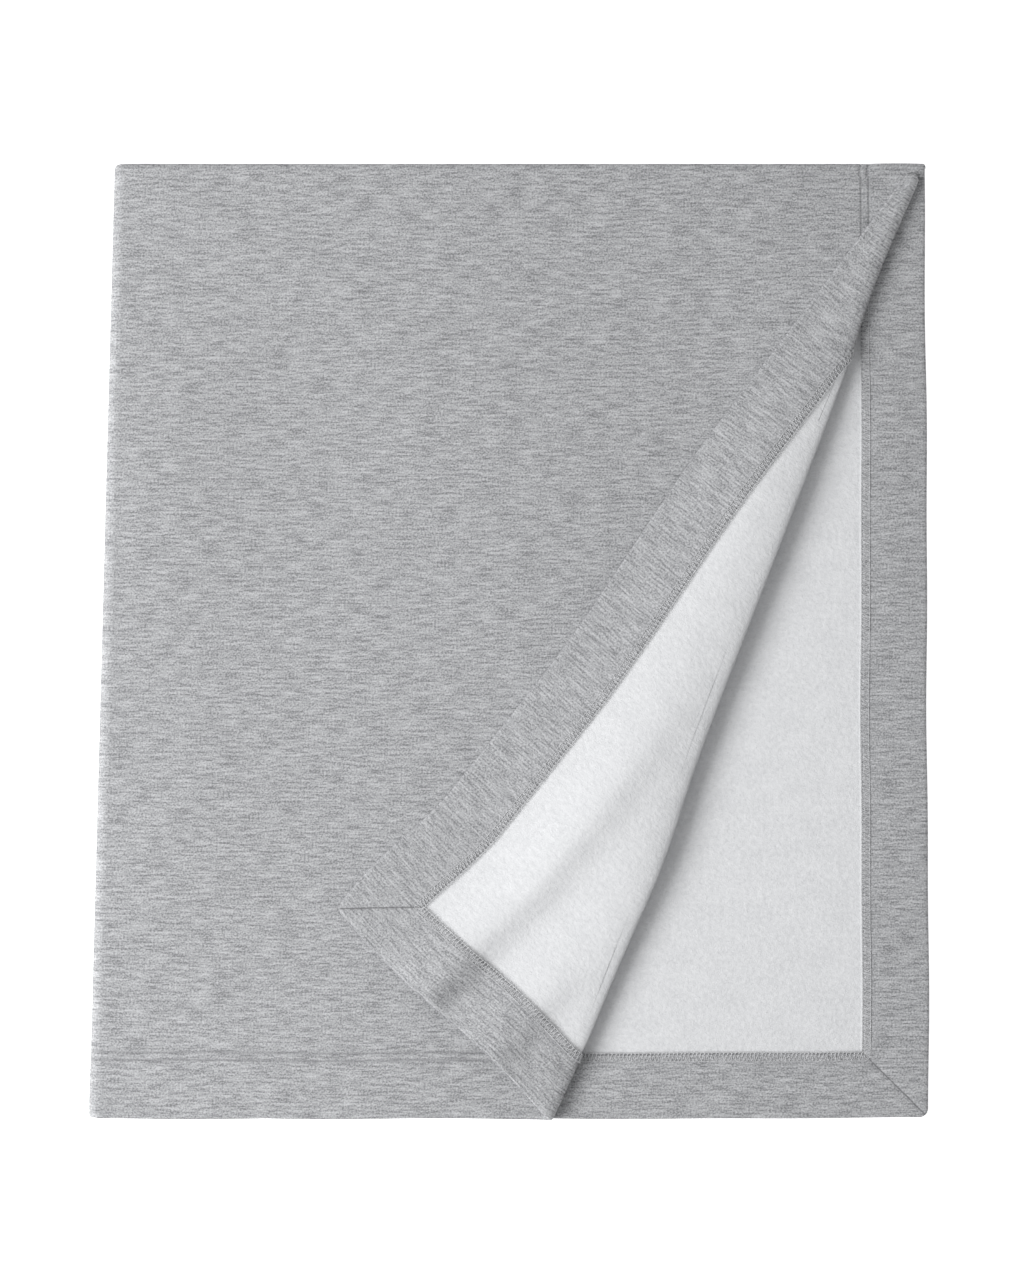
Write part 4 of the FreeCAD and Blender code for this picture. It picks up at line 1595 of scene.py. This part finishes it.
@dataclass
class FoldedThrow:
    """The whole folded throw: cloth, stitching and seams."""

    finishes: Finishes
    layers: FoldedLayers = field(default_factory=FoldedLayers)
    corner: TurnedCorner = field(default_factory=TurnedCorner)

    def build(self) -> None:
        """Build and dress every piece."""
        self._cloth()
        self._stitching()

    def _sheets(self) -> list[SheetPlan]:
        """List the sheets of cloth."""
        cloth = ThrowCloth(self.layers, self.corner)
        low, up, flap = Body.LOWER, Body.UPPER, Body.FLAP
        hem = "layer_%d_side_hem", "layer_%d_front_hem"
        lower_nodes = ("layer_3_panel", "layer_4_panel", "lower_back_fold")
        lower_nodes += tuple(h % n for n in (3, 4) for h in hem)
        second_nodes = ("layer_2_panel", "upper_back_fold", hem[0] % 2, hem[1] % 2)
        top_nodes = ("layer_1_panel", "layer_1_front_hem")
        flap_nodes = ("flap_panel", "flap_side_hem", "flap_front_hem")
        on_top = ("top_layer_cloth",)
        return [
            SheetPlan("lower_pair_cloth", cloth.lower(), low, None, 0, 0, (), lower_nodes),
            SheetPlan(
                "second_layer_cloth", cloth.second(), up, None, 0, 0, ("lower_pair_cloth",), second_nodes
            ),
            SheetPlan(
                "top_layer_cloth", cloth.top(), up, None, 0, 0, ("second_layer_cloth",), top_nodes
            ),
            SheetPlan(
                "crease_roll_cloth", cloth.crease(), up, flap, *BEND.crease, on_top, ("crease_fold",)
            ),
            SheetPlan("turned_corner_cloth", cloth.flap(), flap, None, 0, 0, on_top, flap_nodes),
            *(
                SheetPlan(
                    "left_%s_roll_cloth" % ply,
                    cloth.left(ply == "outer"),
                    low,
                    up,
                    *heights,
                    (),
                    ("left_fold_%s" % ply, "left_fold_%s_hem" % ply),
                )
                for ply, heights in (("outer", BEND.left_outer), ("inner", BEND.left_inner))
            ),
        ]

    def _cloth(self) -> None:
        """Build the sheets of cloth."""
        for plan in self._sheets():
            piece = Shell(plan.name, plan.samples).build(self.finishes.cloth())
            self._attach(piece, plan.body, plan.joins, plan.blend_from, plan.blend_to)
            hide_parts(*plan.nodes)
            width, length, area = flat_size(plan.samples)
            rests = [bpy.data.objects[name] for name in plan.rests_on]
            faces = len(piece.data.polygons)
            LOG.info("%s: %d faces, cut %.3f x %.3f m", piece.name, faces, width, length)

    def _attach(
        self, piece: bpy.types.Object, body: Body, joins: Body | None, low: float, high: float
    ) -> None:
        """Ride a piece on one body, or, if it joins two, only bake its transform into its mesh."""
        if joins is None:
            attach(piece, body.value)
        else:
            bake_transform(piece)

    def _stitching(self) -> None:
        """Sew the needle rows, the looper bands and the mitre seams."""
        paths = StitchPaths(self.layers, self.corner)
        finishes = self.finishes
        needle = StitchTree(StitchKind.NEEDLE, finishes.needle)
        looper = StitchTree(StitchKind.LOOPER, finishes.looper)
        seam = StitchTree(StitchKind.SEAM, finishes.seam)
        rows, middle = CLOTH.needle_rows, (CLOTH.looper_middle,)
        low, up, flap = Body.LOWER, Body.UPPER, Body.FLAP
        groups = {
            "lower_pair": (low, None, 0, 0, partial(paths.pair, Pair.LOWER), (3, 4)),
            "upper_pair": (up, None, 0, 0, partial(paths.pair, Pair.UPPER), (2,)),
            "turned_corner": (flap, None, 0, 0, paths.flap, ()),
            "crease_roll": (up, flap, *BEND.crease, paths.crease, ()),
            "left_outer_roll": (low, up, *BEND.left_outer, partial(paths.left, True), ()),
            "left_inner_roll": (low, up, *BEND.left_inner, partial(paths.left, False), ()),
        }
        threads = ((needle, ClothSide.KNIT, rows), (looper, ClothSide.FLEECE, middle))
        for seed, (name, (body, joins, start, end, find, numbers)) in enumerate(groups.items()):
            for tree, side, offsets in threads:
                lines = [path for row in offsets for path in find(row, side)]
                kind = tree.kind.value
                piece = tree.sew("%s_%s_thread" % (name, kind), lines, seed + 11)
                self._attach(piece, body, joins, start, end)
                self._stand_in(name, kind, numbers)
        self._seams(paths, seam)

    def _stand_in(self, name: str, kind: str, numbers: tuple[int, ...]) -> None:
        """Let a row of stitches stand for the CAD strips that it follows."""
        nodes = [
            "layer_%d_%s_%s_threads" % (n, edge, kind)
            for n in numbers
            for edge in ("side", "front")
        ]
        if name == "upper_pair":
            nodes.append("layer_1_front_%s_threads" % kind)
        if name == "turned_corner":
            nodes = ["flap_%s_%s_threads" % (edge, kind) for edge in ("side", "front")]
        if nodes:
            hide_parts(*nodes)

    def _seams(self, paths: StitchPaths, seam: StitchTree) -> None:
        """Sew the mitre seams."""
        plans = [
            ("lower_pair_mitre_seams", Body.LOWER, [Layer.THIRD, Layer.BOTTOM]),
            ("second_layer_mitre_seam", Body.UPPER, [Layer.SECOND]),
        ]
        for name, body, layers in plans:
            piece = seam.sew(name, [line for layer in layers for line in paths.mitre(layer)], 5)
            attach(piece, body.value)
            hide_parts(*["layer_%d_mitre_seam" % layer.value for layer in layers])
        piece = seam.sew("turned_corner_mitre_seam", paths.flap_mitre(), 6)
        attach(piece, Body.FLAP.value)
        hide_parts("flap_mitre_seam")


def flat_size(samples: Samples) -> tuple[float, float, float]:
    """Return a sheet's cut width and length, and its flat area."""
    cloth = samples.cloth
    across = cloth[1:, 1:] - cloth[:-1, :-1]
    other = cloth[1:, :-1] - cloth[:-1, 1:]
    area = float(np.sum(np.abs(across[..., 0] * other[..., 1] - across[..., 1] * other[..., 0])) / 2)
    width, length = float(np.ptp(cloth[..., 0])), float(np.ptp(cloth[..., 1]))
    if area < 0.3 * width * length:
        width = area / length
    return width, length, min(area, width * length)


@dataclass(frozen=True)
class Studio:
    """Camera, floor and light."""

    camera_height: float = 3.0
    view_height: float = 0.9985
    aim: tuple[float, float] = (0.0023, 0.0012)
    sensor: float = 36.0

    def build(self) -> None:
        """Build the studio."""
        self._camera()
        self._floor()
        self._light("key_panel", (-2.0, -0.30, 1.9), 1.7, 84.0)
        self._light("fill_panel", (-0.3, -0.7, 2.7), 1.8, 7.0)
        world = bpy.data.worlds.new("studio_air")
        world.use_nodes = True
        tree = NodeTree(world.node_tree)
        background = world.node_tree.nodes["Background"]
        background.inputs["Color"].default_value = (1.0, 1.0, 1.0, 1.0)
        seen = tree.add("ShaderNodeLightPath").outputs["Is Camera Ray"]
        tree.feed(background.inputs["Strength"], tree.remap(seen, 0.0, 1.0, 0.36, 1.0))
        bpy.context.scene.world = world
        bpy.context.scene.view_settings.view_transform = "Standard"

    def _camera(self) -> None:
        """Place a long-lens camera straight above the throw."""
        data = bpy.data.cameras.new("overhead_camera")
        data.sensor_fit = "VERTICAL"
        data.sensor_height = self.sensor
        data.lens = self.sensor * (self.camera_height - 0.012) / self.view_height
        data.clip_end = 120.0
        camera = bpy.data.objects.new("overhead_camera", data)
        camera.location = (self.aim[0], self.aim[1], self.camera_height)
        bpy.context.collection.objects.link(camera)
        bpy.context.scene.camera = camera

    def _floor(self) -> None:
        """Lay a pale floor."""
        mesh = bpy.data.meshes.new("pale_floor")
        reach = 45.0
        corners = [(-reach, -reach, 0), (reach, -reach, 0), (reach, reach, 0), (-reach, reach, 0)]
        mesh.from_pydata(corners, [], [(0, 1, 2, 3)])
        floor = bpy.data.objects.new("pale_floor", mesh)
        bpy.context.collection.objects.link(floor)
        material = bpy.data.materials.new("pale_floor")
        material.use_nodes = True
        shader = material.node_tree.nodes["Principled BSDF"]
        shader.inputs["Base Color"].default_value = (0.95, 0.95, 0.95, 1.0)
        shader.inputs["Roughness"].default_value = 0.9
        shader.inputs["Emission Color"].default_value = (1.0, 1.0, 1.0, 1.0)
        shader.inputs["Emission Strength"].default_value = 0.72
        mesh.materials.append(material)

    def _light(self, name: str, place: tuple[float, float, float], size: float, power: float) -> None:
        """Hang a square soft light that faces the throw."""
        data = bpy.data.lights.new(name, "AREA")
        data.shape = "SQUARE"
        data.size = size
        data.energy = power
        light = bpy.data.objects.new(name, data)
        light.location = place
        light.rotation_euler = (-Vector(place)).to_track_quat("-Z", "Y").to_euler()
        bpy.context.collection.objects.link(light)


def main() -> None:
    """Build the throw and its studio."""
    logging.basicConfig(level=logging.INFO, format="%(name)s: %(message)s")
    Studio().build()
    FoldedThrow(Finishes(YarnFinish(), NapFinish())).build()


if __name__ == "__main__":
    main()
